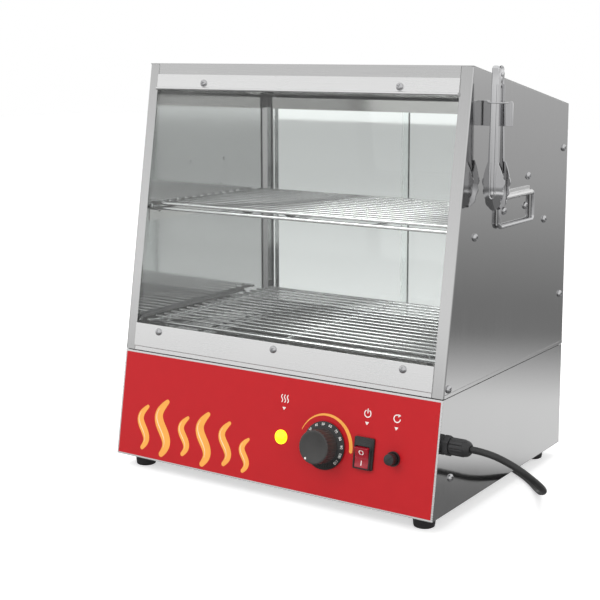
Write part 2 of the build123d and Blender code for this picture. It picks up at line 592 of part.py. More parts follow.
def rocker_switch_housing():
    """Bezel with a raised collar round the rocker, well for it, and the body behind the panel."""
    back = -OVERLAY_THICK - SHEET
    bezel = Pos(0, 0, SWITCH_BEZEL / 2) * Box(SWITCH_WIDTH, SWITCH_HEIGHT, SWITCH_BEZEL)
    bezel = chamfer(bezel.faces().sort_by(Axis.Z)[-1].edges(), 0.5)
    top = SWITCH_BEZEL + COLLAR_RISE
    foot_height = SWITCH_HEIGHT - 2 * COLLAR_EDGE + 2 * COLLAR_DROP
    width, length = ROCKER_WIDTH + 2 * SAFE_GAP, ROCKER_LENGTH + 2 * SAFE_GAP
    collar = loft(
        [
            Pos(0, -COLLAR_DROP, SWITCH_BEZEL) * Rectangle(SWITCH_WIDTH - 2 * COLLAR_EDGE, foot_height),
            Pos(0, -WINDOW_DROP, top) * Rectangle(width + 2 * COLLAR_WALL, length + 2 * COLLAR_WALL),
        ],
        ruled=True,
    )
    body = Pos(0, -BODY_DROP, -SWITCH_BODY_DEPTH / 2) * Box(*switch_body_size(), SWITCH_BODY_DEPTH)
    well = Pos(0, -WINDOW_DROP, top - SWITCH_WELL / 2 + 1.0) * Box(width, length, SWITCH_WELL + 2.0)
    axle = Pos(0, -WINDOW_DROP, ROCKER_PIVOT) * Rot(0, 90, 0) * Cylinder(ROCKER_PIN + RUNNING_GAP, axle_hole())
    terminal = Box(6.3, 0.8, 8.0)
    terminals = [Pos(0, y - BODY_DROP, -SWITCH_BODY_DEPTH - 3.0) * terminal for y in (-6.0, 6.0)]
    return at_front(SWITCH_X) * (bezel + collar + body - well - axle).fuse(*terminals)


def axle_hole():
    """Length of the rocker's axle hole, blind at both ends in the collar's wall."""
    return ROCKER_WIDTH + 2 * SAFE_GAP + 2 * COLLAR_WALL - 0.4


def rocker_switch_actuator():
    """Rocker with a hollow face, rocked on an axle in the housing; its lower end is pressed in."""
    half = ROCKER_LENGTH / 2
    end = half - 0.4
    rim = ROCKER_FACE + half * tan(radians(ROCKER_TILT))
    outline = make_face(
        Polyline((end, rim), (half, -2.0), (3.0, -6.0), (-3.0, -6.0), (-half, -2.0), (-end, rim))
        + ThreePointArc((-end, rim), (0, ROCKER_FACE), (end, rim))
    )
    rocker = extrude(Plane.YZ.offset(-ROCKER_WIDTH / 2) * outline, ROCKER_WIDTH)
    rocker += Rot(0, 90, 0) * Cylinder(ROCKER_PIN, axle_hole() - 2 * SAFE_GAP)
    return at_front(SWITCH_X, ROCKER_PIVOT) * Pos(0, -WINDOW_DROP, 0) * Rot(ROCKER_TILT, 0, 0) * rocker


def reset_thermostat():
    """Manual-reset limiter behind the panel; its threaded neck comes through a ring."""
    back = -OVERLAY_THICK - SHEET
    body = cylinder_out(11.0, back - 16.0, back) + cylinder_out(RESET_CAP_RADIUS, back, 0)
    body += cylinder_out(RESET_RING, 0, 2.0)
    neck = RESET_CAP_RADIUS - 1.2
    body += cylinder_out(neck - RUNNING_GAP, 2.0, 5.0)
    return at_front(RESET_X) * (body - cylinder_out(2.0 + RUNNING_GAP, back - 6.0, 6.0))


def reset_cap():
    """Screw cap over the reset pin, with a coin slot."""
    start = 2.0 + SAFE_GAP
    cap = cylinder_out(RESET_CAP_RADIUS, start, 2.0 + RESET_CAP_HEIGHT)
    cap -= cylinder_out(RESET_CAP_RADIUS - 1.2, start - 1, 8.0)
    slot = Pos(0, 0, 2.0 + RESET_CAP_HEIGHT) * Rot(0, 0, 40) * Box(2 * RESET_CAP_RADIUS, 1.2, 1.6)
    return at_front(RESET_X) * (cap - slot)


def reset_pin():
    return at_front(RESET_X) * cylinder_out(2.0, -3.0, 7.0)


# ---------------------------------------------------------------- cabinet
def side_tray():
    """A cabinet side, folded in on all four edges like a shallow tray, under the roof; right side."""
    outer = prism_x(cabinet_outline(0, CABINET_Z, SHEET), POST_X, CABINET_HALF)
    fold = [edge for edge in outer.edges() if is_front_fold(edge, CABINET_HALF)]
    outer = fillet(fold, FOLD)
    inner = prism_x(cabinet_outline(SHEET, CABINET_Z + SHEET, 2 * SHEET), POST_X - 1, WALL_IN)
    fold = [edge for edge in inner.edges() if is_front_fold(edge, WALL_IN)]
    return outer - fillet(fold, FOLD - SHEET)


def is_front_fold(edge, x):
    """The long slanted edge at the given side."""
    middle = edge @ 0.5
    leaning = abs((edge % 0.5).Z) > 0.9 and middle.Y < BODY_DEPTH / 2
    return leaning and abs(middle.X - x) < 0.01


def side_screw_places():
    """(y, z) of the screws in each cabinet side."""
    shelf = BUN_SHELF_Z - SUPPORT_SHEET - SCREW_SHANK - FIT_GAP
    rear_edge = BODY_DEPTH - EDGE_SCREW_INSET
    front_edge_z = CABINET_Z + FRONT_EDGE_SCREW_RISE
    return {
        "shelf": [(y, shelf) for y in (SHELF_SCREW_FRONT, BODY_DEPTH - SHELF_SCREW_BACK)],
        "handle": [(BAIL_Y + dy, BAIL_TOP_Z + dz) for dy, dz in HANDLE_SCREWS],
        "edge": [
            (rear_edge, roof_z(rear_edge) - UPPER_EDGE_SCREW_DROP),
            (rear_edge, CABINET_Z + LOWER_EDGE_SCREW_RISE),
            (front_y(front_edge_z) + FRONT_EDGE_SCREW_INSET, front_edge_z),
        ],
    }


def side_panel():
    """Right side of the cabinet."""
    panel = side_tray()
    trim = block(
        (POST_X - 1, CABINET_HALF - REAR_POST_WIDTH),
        (BODY_DEPTH - 2 * SHEET, BODY_DEPTH + SHEET),
        (CABINET_Z + SHEET, TOP_Z),
    )
    panel -= trim
    for places in side_screw_places().values():
        for y, z in places:
            panel -= rod_x(WALL_IN - 1, CABINET_HALF + 1, y, z, SCREW_SHANK)
    return panel


def roof_and_header():
    """Roof sheet, folded down in front to the header and behind to a stiffening flange."""
    outline = [
        (TOP_Y, TOP_Z),
        (BODY_DEPTH, roof_z(BODY_DEPTH)),
        (BODY_DEPTH, roof_z(BODY_DEPTH) - SHEET),
        front_top(0, SHEET),
    ]
    roof = prism_x(outline, -CABINET_HALF, CABINET_HALF)
    side = POST_X - FIT_GAP
    header = on_front((-side, side), (HEADER_START, FRONT_LENGTH - SHEET / 2), (-SHEET, 0))
    for x in (-COVER_SCREW_X, COVER_SCREW_X):
        header -= FRONT.location * Pos(x, COVER_SCREW, 0) * Cylinder(SCREW_SHANK, 4 * SHEET)
    back_side = CABINET_HALF - REAR_POST_WIDTH - FIT_GAP
    back = block(
        (-back_side, back_side),
        (BODY_DEPTH - SHEET, BODY_DEPTH),
        (roof_z(BODY_DEPTH) - 14.0, roof_z(BODY_DEPTH) - SHEET / 2),
    )
    return roof + header + back


def header_cover_strip():
    """Screwed strip over the header's lower edge, its bottom rolled to a round lip."""
    side = POST_X
    strip = on_front((-side, side), (COVER_START + LIP_RADIUS, COVER_END), (0, STRIP_THICK))
    lip = FRONT.location * Pos(0, COVER_START + LIP_RADIUS, LIP_RADIUS) * Rot(0, 90, 0) * Cylinder(
        LIP_RADIUS, 2 * side
    )
    for x in (-COVER_SCREW_X, COVER_SCREW_X):
        strip -= FRONT.location * Pos(x, COVER_SCREW, 0) * Cylinder(SCREW_SHANK, 4 * SHEET)
    return strip + lip


def front_glass():
    half = GLASS_WIDTH / 2
    return on_front((-half, half), (GLASS_START, GLASS_END), (GLASS_BACK, GLASS_FACE))


def front_sill():
    """Folded sill under the glass: front face, shelf for the glass, upstand behind it, and a foot."""
    side = POST_X - FIT_GAP
    shelf = GLASS_START - SHEET
    sill = on_front((-side, side), (SILL_START, GLASS_START), (-SHEET, 0))
    sill += on_front((-side, side), (shelf, GLASS_START), (GLASS_BACK - SHEET, 0))
    sill += on_front((-side, side), (shelf, RETAINER_END - 0.4), (GLASS_BACK - SHEET, GLASS_BACK))
    foot_y = front_y(CABINET_Z, -SHEET / 2)
    sill += block((-side, side), (foot_y, foot_y + SILL_FOOT), (CABINET_Z, CABINET_Z + SHEET))
    for x in (-RETAINER_SCREW_X, 0, RETAINER_SCREW_X):
        sill -= FRONT.location * Pos(x, RETAINER_SCREW, 0) * Cylinder(SCREW_SHANK, 3 * SHEET)
    return sill


def glass_gasket():
    """Seals in front of the glass, along the retainer strip and the header."""
    side = POST_X - FIT_GAP
    lower = on_front((-side, side), (GLASS_START, RETAINER_END - 0.6), (GLASS_FACE, 0))
    return lower


def glass_retainer_strip():
    side = POST_X
    strip = on_front((-side, side), (RETAINER_START, RETAINER_END), (0, STRIP_THICK))
    upper_edge = [edge for edge in strip.edges() if abs((edge % 0.5).X) > 0.9]
    outermost = sorted(upper_edge, key=lambda edge: (edge @ 0.5).Y - (edge @ 0.5).Z * 0.2)[:2]
    strip = fillet(outermost, 0.8)
    for x in (-RETAINER_SCREW_X, 0, RETAINER_SCREW_X):
        strip -= FRONT.location * Pos(x, RETAINER_SCREW, 0) * Cylinder(SCREW_SHANK, 4 * SHEET)
    return strip


def front_screws():
    places = [(x, COVER_SCREW) for x in (-COVER_SCREW_X, COVER_SCREW_X)]
    places += [(x, RETAINER_SCREW) for x in (-RETAINER_SCREW_X, 0, RETAINER_SCREW_X)]
    screw = pan_screw(STRIP_THICK + SHEET)
    return Compound([FRONT.location * Pos(x, up, STRIP_THICK) * screw for x, up in places])


def glass_clips():
    """Angle clips behind the glass's edges, welded to the right side: clear of both racks."""
    clips = []
    for up in GLASS_CLIPS:
        span = (up, up + GLASS_CLIP_LENGTH)
        grip = on_front((GLASS_WIDTH / 2 - 3.0, WALL_IN), span, (GLASS_BACK - SHEET, GLASS_BACK))
        leg = on_front((WALL_IN - SHEET, WALL_IN), span, (GLASS_BACK - 8.0, GLASS_BACK))
        clips.append(grip + leg)
    return clips


def cabinet_gasket():
    """Rubber ring in the seam between the base and the cabinet."""
    outer_side, inner_side = HALF_WIDTH - 2.5, POST_X + 1.5
    front = front_y(DECK_Z, -2.5)
    ring = block((-outer_side, outer_side), (front, BODY_DEPTH - 3.0), (DECK_Z, CABINET_Z))
    ring -= block((-inner_side, inner_side), (front + 8.0, BODY_DEPTH - 11.0), (DECK_Z - 1, CABINET_Z + 1))
    return ring


def rack_support():
    """Angle shelf for the bun rack on the right side, held by two wall screws."""
    top = BUN_SHELF_Z
    y = (BUN_FRONT_Y + 4.0, BUN_BACK_Y)
    shelf = block((WALL_IN - SUPPORT_SHELF, WALL_IN), y, (top - SUPPORT_SHEET, top))
    leg = block((WALL_IN - SUPPORT_SHEET, WALL_IN), y, (top - SUPPORT_LEG, top))
    support = shelf + leg
    for screw_y, screw_z in side_screw_places()["shelf"]:
        support -= rod_x(WALL_IN - 3, WALL_IN + 1, screw_y, screw_z, SCREW_SHANK)
    return support


def wall_screws():
    """All pan-head screws in the two cabinet sides and the base's sides."""
    screws = []
    for places in side_screw_places().values():
        for y, z in places:
            right = Pos(CABINET_HALF, y, z) * Rot(0, 90, 0) * pan_screw(SHEET + SUPPORT_SHEET)
            screws += [right, mirrored(right)]
    return Compound(screws)


# ---------------------------------------------------------------- racks
def rack_deck(half_x, front, back, z):
    """Wires along X, side by side."""
    count = int((back - front) / DECK_PITCH)
    pitch = (back - front) / count
    return [rod_x(-half_x, half_x, front + index * pitch, z, DECK_WIRE) for index in range(1, count)]


def closed_frame(half_x, front, back, z, radius, corner=8.0):
    plan = RectangleRounded(2 * half_x, back - front, corner)
    path = Pos(0, (front + back) / 2, z) * plan.wire()
    return sweep(Plane(origin=path @ 0, z_dir=path % 0) * Circle(radius), path=path)


def bun_rack():
    z = BUN_SHELF_Z + RACK_WIRE
    half = WALL_IN - RACK_SIDE_GAP - RACK_WIRE
    front, back = BUN_FRONT_Y + RACK_WIRE, BUN_BACK_Y - RACK_WIRE
    parts = [closed_frame(half, front, back, z, RACK_WIRE)]
    parts += [rod_y(x, front, back, z, RACK_WIRE) for x in (-half / 2, 0, half / 2)]
    deck_z = z + RACK_WIRE + DECK_WIRE - WELD_SINK
    parts += rack_deck(half, front, back, deck_z)
    rail_z = z + BUN_RAIL_RISE
    rail_corners = [(-half, front, z), (-half, front, rail_z), (half, front, rail_z), (half, front, z)]
    parts.append(wire_tube(FilletPolyline(*rail_corners, radius=BUN_RAIL_BEND), BUN_RAIL_WIRE))
    return join(parts)


def join(parts):
    """Welds a list of wires into one solid."""
    return parts[0].fuse(*parts[1:])


def hot_dog_rack():
    """Wire rack: rails and deck wires across, three runners under them, on bent wire legs that stand
    on the deck beside the pan."""
    z = DECK_Z + DOG_RACK_RISE
    front, back = DOG_FRONT_Y + RACK_WIRE, DOG_BACK_Y - RACK_WIRE
    parts = [rod_x(-DOG_HALF_X, DOG_HALF_X, y, z, RACK_WIRE) for y in (front, back)]
    runner_z = z - 0.6
    leg_z = runner_z - 2 * RACK_WIRE + 2 * WELD_SINK
    parts += [rod_y(x, front, back, runner_z, RACK_WIRE) for x in (-DOG_LEG_X, 0, DOG_LEG_X)]
    for x in (-DOG_LEG_X, DOG_LEG_X):
        leg = FilletPolyline(
            (x, front + DOG_LEG_FRONT, DECK_Z),
            (x, front + DOG_LEG_FRONT, leg_z),
            (x, back - DOG_LEG_BACK, leg_z),
            (x, back - DOG_LEG_BACK, DECK_Z),
            radius=DOG_LEG_BEND,
        )
        parts.append(wire_tube(leg, RACK_WIRE))
    parts += rack_deck(DOG_HALF_X, front, back, runner_z + RACK_WIRE + DECK_WIRE - WELD_SINK)
    return join(parts)


# ---------------------------------------------------------------- sliding doors
def track_profile(z0, wall, floor_up):
    """Cross-section in (y, z) of a double track; the floor is below the lips, or above them."""
    y = TRACK_FRONT_Y
    groove = DOOR_THICK + 2 * GROOVE_PLAY / 2 * 2
    middle = TRACK_DEPTH - 2 * TRACK_LIP - 2 * groove
    lips = [(y, TRACK_LIP), (y + TRACK_LIP + groove, middle), (y + TRACK_DEPTH - TRACK_LIP, TRACK_LIP)]
    low, high = (z0, z0 + wall)
    floor = (low, low + TRACK_FLOOR) if floor_up else (high - TRACK_FLOOR, high)
    return lips, (low, high), floor


def track(z0, wall, floor_up, half):
    lips, walls, floor = track_profile(z0, wall, floor_up)
    body = block((-half, half), (TRACK_FRONT_Y, TRACK_FRONT_Y + TRACK_DEPTH), floor)
    for start, width in lips:
        body += block((-half, half), (start, start + width), walls)
    return body


def track_half():
    return CABINET_HALF - REAR_POST_WIDTH - FIT_GAP


def groove_y(index):
    """Middle of the inner (0) or outer (1) groove."""
    groove = DOOR_THICK + 2 * GROOVE_PLAY
    first = TRACK_FRONT_Y + TRACK_LIP + groove / 2
    return first + index * (TRACK_DEPTH - 2 * TRACK_LIP - groove)


def lower_track_z():
    return CABINET_Z + SHEET


def upper_track_top():
    return roof_z(TRACK_BACK_Y) - SHEET


def door_track_bottom():
    """Sill across the back with the lower track on it."""
    half = track_half()
    body = track(lower_track_z(), TRACK_LOWER, True, half)
    body += block((-half, half), (TRACK_BACK_Y, BODY_DEPTH), (lower_track_z(), lower_track_z() + TRACK_LOWER))
    under = POST_X - FIT_GAP
    body += block((-under, under), (TRACK_FRONT_Y, BODY_DEPTH), (CABINET_Z, lower_track_z()))
    return body


def door_track_top():
    return track(upper_track_top() - TRACK_UPPER, TRACK_UPPER, False, track_half())


def door_x(index):
    """Both ends of a door's span: 0 is the left door, 1 the right one."""
    half = track_half() - FIT_GAP
    width = half + DOOR_OVERLAP / 2
    return (-half, -half + width) if index == 0 else (half - width, half)


def door_z():
    return (lower_track_z() + TRACK_FLOOR + SAFE_GAP, upper_track_top() - TRACK_FLOOR - 4.0)


def pull_place(index):
    x0, x1 = door_x(index)
    x = x0 + PULL_INSET if index == 0 else x1 - PULL_INSET
    return x, groove_y(index), (door_z()[0] + door_z()[1]) / 2


def sliding_door(index):
    y = groove_y(index)
    pane = block(door_x(index), (y - DOOR_THICK / 2, y + DOOR_THICK / 2), door_z())
    x, _, z = pull_place(index)
    return pane - rod_y(x, y - DOOR_THICK, y + DOOR_THICK, z, PULL_RADIUS)


def door_pull(index):
    """Flush finger cup in the pane, with a thin flange on the outside."""
    x, y, z = pull_place(index)
    outside = y + DOOR_THICK / 2
    cup = rod_y(x, y - DOOR_THICK / 2, outside, z, PULL_RADIUS)
    cup += rod_y(x, outside, outside + PULL_FLANGE, z, PULL_RADIUS + 2.0)
    return cup - rod_y(x, y - DOOR_THICK / 2 + 1.0, outside + 1, z, PULL_RADIUS - 1.5)


# ---------------------------------------------------------------- bail handles
def bail_x():
    return CABINET_HALF + BRACKET_SHEET + RUNNING_GAP + BAIL_RADIUS


def handle_bail():
    """Closed loop of rod; its top bar turns in the bracket."""
    plan = RectangleRounded(BAIL_LENGTH, BAIL_DROP, BAIL_CORNER)
    loop = Pos(bail_x(), BAIL_Y, BAIL_TOP_Z - BAIL_DROP / 2) * (Plane.YZ * plan).wire()
    return sweep(Plane(origin=loop @ 0, z_dir=loop % 0) * Circle(BAIL_RADIUS), path=loop)


def handle_bracket():
    """Strap on the wall, rolled round the bail's top bar below it."""
    y = (BAIL_Y - BRACKET_LENGTH / 2, BAIL_Y + BRACKET_LENGTH / 2)
    bore = BAIL_RADIUS + RUNNING_GAP
    roll = rod_y(bail_x(), *y, BAIL_TOP_Z, bore + BRACKET_SHEET)
    strap = block((CABINET_HALF, CABINET_HALF + 2 * BRACKET_SHEET), y, (BAIL_TOP_Z, BAIL_TOP_Z + BRACKET_ABOVE))
    return roll + strap - rod_y(bail_x(), y[0] - 1, y[1] + 1, BAIL_TOP_Z, bore)


# ---------------------------------------------------------------- tongs
def tongs_holder():
    """Plate square to the wall with a saddle in its top edge and a horn at its end; flange behind."""
    end = CABINET_HALF + HOLDER_REACH
    saddle = HOLDER_TOP_Z - HOLDER_SADDLE
    start = CABINET_HALF + HOLDER_SHOULDER
    outline = [
        (CABINET_HALF, HOLDER_BOTTOM_Z),
        (end, HOLDER_BOTTOM_Z),
        (end, HOLDER_TOP_Z - HOLDER_HORN_TIP),
        (end - HOLDER_HORN_TIP, HOLDER_TOP_Z),
        (end - 1.6 * HOLDER_HORN_TIP, HOLDER_TOP_Z),
        (end - HOLDER_HORN, saddle),
        (start + HOLDER_HORN_TIP, saddle),
        (start, HOLDER_TOP_Z),
        (CABINET_HALF, HOLDER_TOP_Z),
    ]
    y = HOLDER_Y + HOLDER_SHEET / 2
    plate = extrude(Plane.XZ.offset(-y) * make_face(Polyline(*outline, close=True)), HOLDER_SHEET)
    flange = block(
        (CABINET_HALF, CABINET_HALF + HOLDER_SHEET),
        (y - HOLDER_SHEET, y + HOLDER_FLANGE),
        (HOLDER_BOTTOM_Z, HOLDER_TOP_Z),
    )
    return plate + flange


def neck_z():
    """Where the arms end in their heads."""
    return TONGS_TIP_Z + HEAD_LENGTH - 5.0


def channel_taper(side, narrower, inset):
    """Tapered bar from the pin to the neck, moved inward by `inset` on the sides and the face;
    `narrower` is taken off both widths."""
    sections = []
    for z, width, spread in (
        (TONGS_PIVOT_Z, ARM_TOP_WIDTH, ARM_TOP_SPREAD),
        (neck_z(), ARM_NECK_WIDTH, ARM_NECK_SPREAD),
    ):
        near, far = spread - ARM_DEPTH - (2.0 if inset else 0.0), spread - inset
        place = Pos(TONGS_X, TONGS_Y + side * (near + far) / 2, z)
        sections.append(place * Rectangle(width - narrower - 2 * inset, far - near))
    return loft(sections, ruled=True)


def tongs_arm(narrower, side):
    """One arm: folded channel with ears at the pin and a scalloped, dished head.
    `side` is -1 for the front arm and +1 for the rear one; the channel is open to the middle plane."""
    arm = channel_taper(side, narrower, 0) - channel_taper(side, narrower, ARM_SHEET)
    arm += tongs_ears(ARM_TOP_WIDTH - narrower, side)
    arm += tongs_rib(side)
    arm += tongs_head(side)
    bore = TONGS_PIN_RADIUS + (RUNNING_GAP if side > 0 else 0.0)
    return arm - rod_x(TONGS_X - ARM_TOP_WIDTH, TONGS_X + ARM_TOP_WIDTH, TONGS_Y, TONGS_PIVOT_Z, bore)


def tongs_ears(width, side):
    """Two cheeks round the pin and the arm's face above it, with a rounded top."""
    face = ARM_TOP_SPREAD
    cheek = [
        (face, EAR_TOP),
        (face - 1.8, EAR_TOP),
        (2.0, EAR_RADIUS * 0.9),
        (0, 0),
        (face - ARM_DEPTH, -EAR_REACH),
        (face, -EAR_REACH),
    ]
    outline = make_face(Polyline(*[(side * y, z) for y, z in cheek], close=True)) + Circle(EAR_RADIUS)
    solid = extrude(Plane.YZ.offset(-width / 2) * outline, width)
    inner = width / 2 - ARM_SHEET
    near, far = sorted((-side * 2 * EAR_RADIUS, side * (face - ARM_SHEET)))
    solid -= block((-inner, inner), (near, far), (-2 * EAR_REACH, 2 * EAR_TOP))
    corner = width * 0.36
    front = Pos(0, (EAR_TOP - 2 * EAR_REACH) / 2) * RectangleRounded(width, EAR_TOP + 2 * EAR_REACH, corner)
    solid &= extrude(Plane.XZ * front, 2 * face, both=True)
    return Pos(TONGS_X, TONGS_Y, TONGS_PIVOT_Z) * solid


def tongs_rib(side):
    """Long U embossed in the arm's face, its bend on the head."""
    lean = (ARM_NECK_SPREAD - ARM_TOP_SPREAD) / (TONGS_PIVOT_Z - neck_z())
    sunk = RIB_RADIUS - RIB_STAND

    def point(x, z):
        return (TONGS_X + x, TONGS_Y + side * (ARM_TOP_SPREAD + lean * (TONGS_PIVOT_Z - z) - sunk), z)

    top, bend = TONGS_PIVOT_Z - RIB_START, TONGS_TIP_Z + RIB_END
    corners = [point(-RIB_HALF, top), point(-RIB_HALF, bend), point(RIB_HALF, bend), point(RIB_HALF, top)]
    return wire_tube(FilletPolyline(*corners, radius=RIB_HALF * 0.9), RIB_RADIUS)


def tongs_head(side):
    """Dished leaf with lobes along both edges."""
    half = HEAD_LENGTH / 2
    centre_z = TONGS_TIP_Z + half
    back = ARM_NECK_SPREAD + 0.6
    axis_y = TONGS_Y + side * (back - HEAD_CROSS_RADIUS)
    drop = HEAD_LONG_RADIUS - sqrt(HEAD_LONG_RADIUS ** 2 - half ** 2)
    outer, inner = HEAD_CROSS_RADIUS, HEAD_CROSS_RADIUS - HEAD_SHEET
    edges = [ThreePointArc((r - drop, -half), (r, 0), (r - drop, half)) for r in (outer, inner)]
    edges += [Line((outer - drop, z), (inner - drop, z)) for z in (-half, half)]
    dish = Pos(TONGS_X, axis_y, centre_z) * revolve(Plane.XZ * make_face(Curve() + edges), Axis.Z)
    cutter = extrude(Plane.XZ * Pos(0, -half) * leaf_outline(), HEAD_CROSS_RADIUS * 1.4, both=True)
    cutter = Pos(TONGS_X, axis_y, centre_z) * cutter
    span = 2 * HEAD_LENGTH
    outside = Pos(TONGS_X, axis_y + side * span / 2, centre_z) * Box(span, span, span)
    return dish & cutter & outside


def leaf_outline():
    """Front view of the head, its tip at the origin: a leaf and the lobes."""
    neck = ARM_NECK_WIDTH / 2
    right = [(neck, HEAD_LENGTH), *HEAD_OUTLINE, (0, 0)]
    left = [(-x, z) for x, z in reversed(right)]
    leaf = make_face(Spline(*right) + Spline(*left) + Line(left[-1], right[0]))
    for x, z in LOBES:
        leaf += Pos(x, z) * Circle(LOBE_RADIUS) + Pos(-x, z) * Circle(LOBE_RADIUS)
    return leaf


def tongs_pin():
    half = ARM_TOP_WIDTH / 2 + 0.6
    return rod_x(TONGS_X - half, TONGS_X + half, TONGS_Y, TONGS_PIVOT_Z, TONGS_PIN_RADIUS)


def tongs_lock_ring():
    """Oval of thin wire round both arms, resting in the holder's saddle."""
    z = HOLDER_TOP_Z - HOLDER_SADDLE + RING_WIRE + SAFE_GAP
    below_pin = TONGS_PIVOT_Z - z
    lean = (ARM_NECK_SPREAD - ARM_TOP_SPREAD) / (TONGS_PIVOT_Z - neck_z())
    arms = ARM_TOP_SPREAD + lean * below_pin + RIB_STAND
    half_y = arms + below_pin * tan(radians(TONGS_OPENING)) + SAFE_GAP + RING_WIRE
    plan = RectangleRounded(2 * (RING_HALF_X - RING_WIRE), 2 * half_y, RING_CORNER)
    path = Pos(TONGS_X, TONGS_Y, z) * plan.wire()
    return sweep(Plane(origin=path @ 0, z_dir=path % 0) * Circle(RING_WIRE), path=path)


# ---------------------------------------------------------------- gland, cord and plug
def gland_z():
    return FOOT_HEIGHT + GLAND_Z


def cord_exit_x():
    return HALF_WIDTH + GLAND_HEX_LENGTH + GLAND_NUT_LENGTH


def along_x(x):
    """Place on the gland's axis, its own Z pointing along +X."""
    return Pos(x, GLAND_Y, gland_z()) * Rot(0, 90, 0)


def cord_gland_body():
    """Hexagon against the wall, thread through it and lock nut inside."""
    body = along_x(HALF_WIDTH) * extrude(RegularPolygon(GLAND_HEX, 6), GLAND_HEX_LENGTH)
    thread = rod_x(HALF_WIDTH - 10.0, HALF_WIDTH, GLAND_Y, gland_z(), GLAND_THREAD)
    nut = along_x(HALF_WIDTH - SHEET - 4.0) * extrude(RegularPolygon(GLAND_HEX, 6), 4.0)
    bore = rod_x(HALF_WIDTH - 11.0, HALF_WIDTH + GLAND_HEX_LENGTH + 1, GLAND_Y, gland_z(), CORD_RADIUS)
    return body + thread + nut - bore


def cord_gland_nut():
    """Ribbed cap nut with a domed end."""
    start, end = 0, GLAND_NUT_LENGTH
    dome = 6.0
    profile = make_face(
        Polyline((0, start), (GLAND_NUT, start), (GLAND_NUT, end - dome))
        + ThreePointArc((GLAND_NUT, end - dome), (GLAND_NUT - 1.6, end - 2.2), (CORD_RADIUS + 1.6, end))
        + Polyline((CORD_RADIUS + 1.6, end), (0, end), (0, start))
    )
    nut = revolve(Plane.XZ * profile, Axis.Z)
    for index in range(GLAND_RIBS):
        groove = Rot(0, 0, index * 360 / GLAND_RIBS) * Pos(GLAND_NUT + 0.5, 0, (end - dome) / 2) * Box(
            2.0, 1.6, end - dome - 2.0
        )
        nut -= groove
    nut -= Cylinder(CORD_RADIUS, 3 * end)
    return along_x(HALF_WIDTH + GLAND_HEX_LENGTH) * nut


def cord_route():
    """Points of the cord from the gland to its coil, chosen by hand: down to the counter beside the
    base, back under it, and out at the rear."""
    floor = CORD_RADIUS
    return [
        (cord_exit_x(), GLAND_Y, gland_z()),
        (cord_exit_x() + 18.0, GLAND_Y, gland_z()),
        (272.3, 28.3, 76.3),
        (286.4, 41.4, 61.0),
        (288.5, 61.1, 46.3),
        (270.5, 98.8, 30.4),
        (254.7, 135.1, 17.5),
        (238.5, 167.9, floor),
        (210.6, 201.2, floor),
        (172.0, 231.0, floor),
        (141.0, 263.0, floor),
        (119.0, 300.0, floor),
        (COIL_CENTRE[0] + COIL_OUTER, 338.0, floor),
        (COIL_CENTRE[0] + COIL_OUTER, COIL_CENTRE[1] - CORD_DIAMETER, floor),
    ]


def corner_radii(points):
    """One arc radius for each inner point: 0.45 of the shorter run over the tangent of half the turn."""
    vectors = [Vector(*point) for point in points]
    radii = []
    for before, here, after in zip(vectors, vectors[1:], vectors[2:]):
        turn = radians((here - before).get_angle(after - here))
        shorter = min((here - before).length, (after - here).length)
        radii.append(0.45 * shorter / tan(turn / 2))
    return radii


def power_cord():
    points = cord_route()
    radii = corner_radii(points)
    print("cord radii in mm:", [round(radius) for radius in radii])
    path = FilletPolyline(*points, radius=radii)
    tube = wire_tube(path, CORD_RADIUS)
    section = pi * CORD_RADIUS ** 2
    ratio = tube.volume / section / path.length
    print(f"cord tube: {path.length:.0f} mm long, volume over section times length {ratio:.4f}")
    return tube


def coil_state(angle):
    """Radius and height of the coil's centre line at an angle in degrees: it spirals in on the counter
    for two turns, climbs in half a turn, and spirals out again on top."""
    per_degree = COIL_PITCH / 360
    turning_point = 2.25 * 360
    radius = COIL_OUTER - per_degree * (angle if angle < turning_point else 2 * turning_point - angle)
    climbed = min(max((angle - 720) / 180, 0.0), 1.0)
    return radius, CORD_RADIUS + climbed * COIL_PITCH


def coil_point(angle):
    radius, height = coil_state(angle)
    turned = radians(angle)
    return Vector(COIL_CENTRE[0] + radius * cos(turned), COIL_CENTRE[1] + radius * sin(turned), height)


def coil_tangent(angle):
    step = 20.0
    return (coil_point(angle + step) - coil_point(angle - step)).normalized()


def biarc(start, start_dir, end, end_dir):
    """Two arcs that join two points smoothly."""
    chord = end - start
    both = start_dir + end_dir
    a = 2 * (1 - start_dir.dot(end_dir))
    b = 2 * chord.dot(both)
    c = -chord.dot(chord)
    reach = (-b + sqrt(b * b - 4 * a * c)) / (2 * a)
    first, second = start + start_dir * reach, end - end_dir * reach
    middle = (first + second) * 0.5
    return [tangent_arc(start, first, middle), tangent_arc(middle, second, end)]


def tangent_arc(start, corner, end):
    """Arc from start to end whose end tangents meet at corner."""
    half_chord = (end - start).length / 2
    side = (corner - start).length
    base = (start + end) * 0.5
    to_corner = corner - base
    sagitta = half_chord * sqrt(side ** 2 - half_chord ** 2) / (side + half_chord)
    return ThreePointArc(start, base + to_corner.normalized() * sagitta, end)


COIL_END_ANGLE = 4.25 * 360


def power_cord_coil():
    """The put-away length, one unbroken tube."""
    step = 90
    angles = list(range(0, int(COIL_END_ANGLE) + 1, step))
    points = [coil_point(angle) for angle in angles]
    tangents = [coil_tangent(angle) for angle in angles]
    tangents[0], tangents[-1] = Vector(0, 1, 0), Vector(-1, 0, 0)
    edges = [Line(points[0] - tangents[0] * CORD_DIAMETER, points[0])]
    for index in range(len(angles) - 1):
        edges += biarc(points[index], tangents[index], points[index + 1], tangents[index + 1])
    edges.append(Line(points[-1], points[-1] + tangents[-1] * COIL_TAIL))
    path = Wire(edges)
    print(f"coil: {path.length:.0f} mm long, least gap to itself {least_gap(path):.2f} mm")
    return wire_tube(path, CORD_RADIUS)


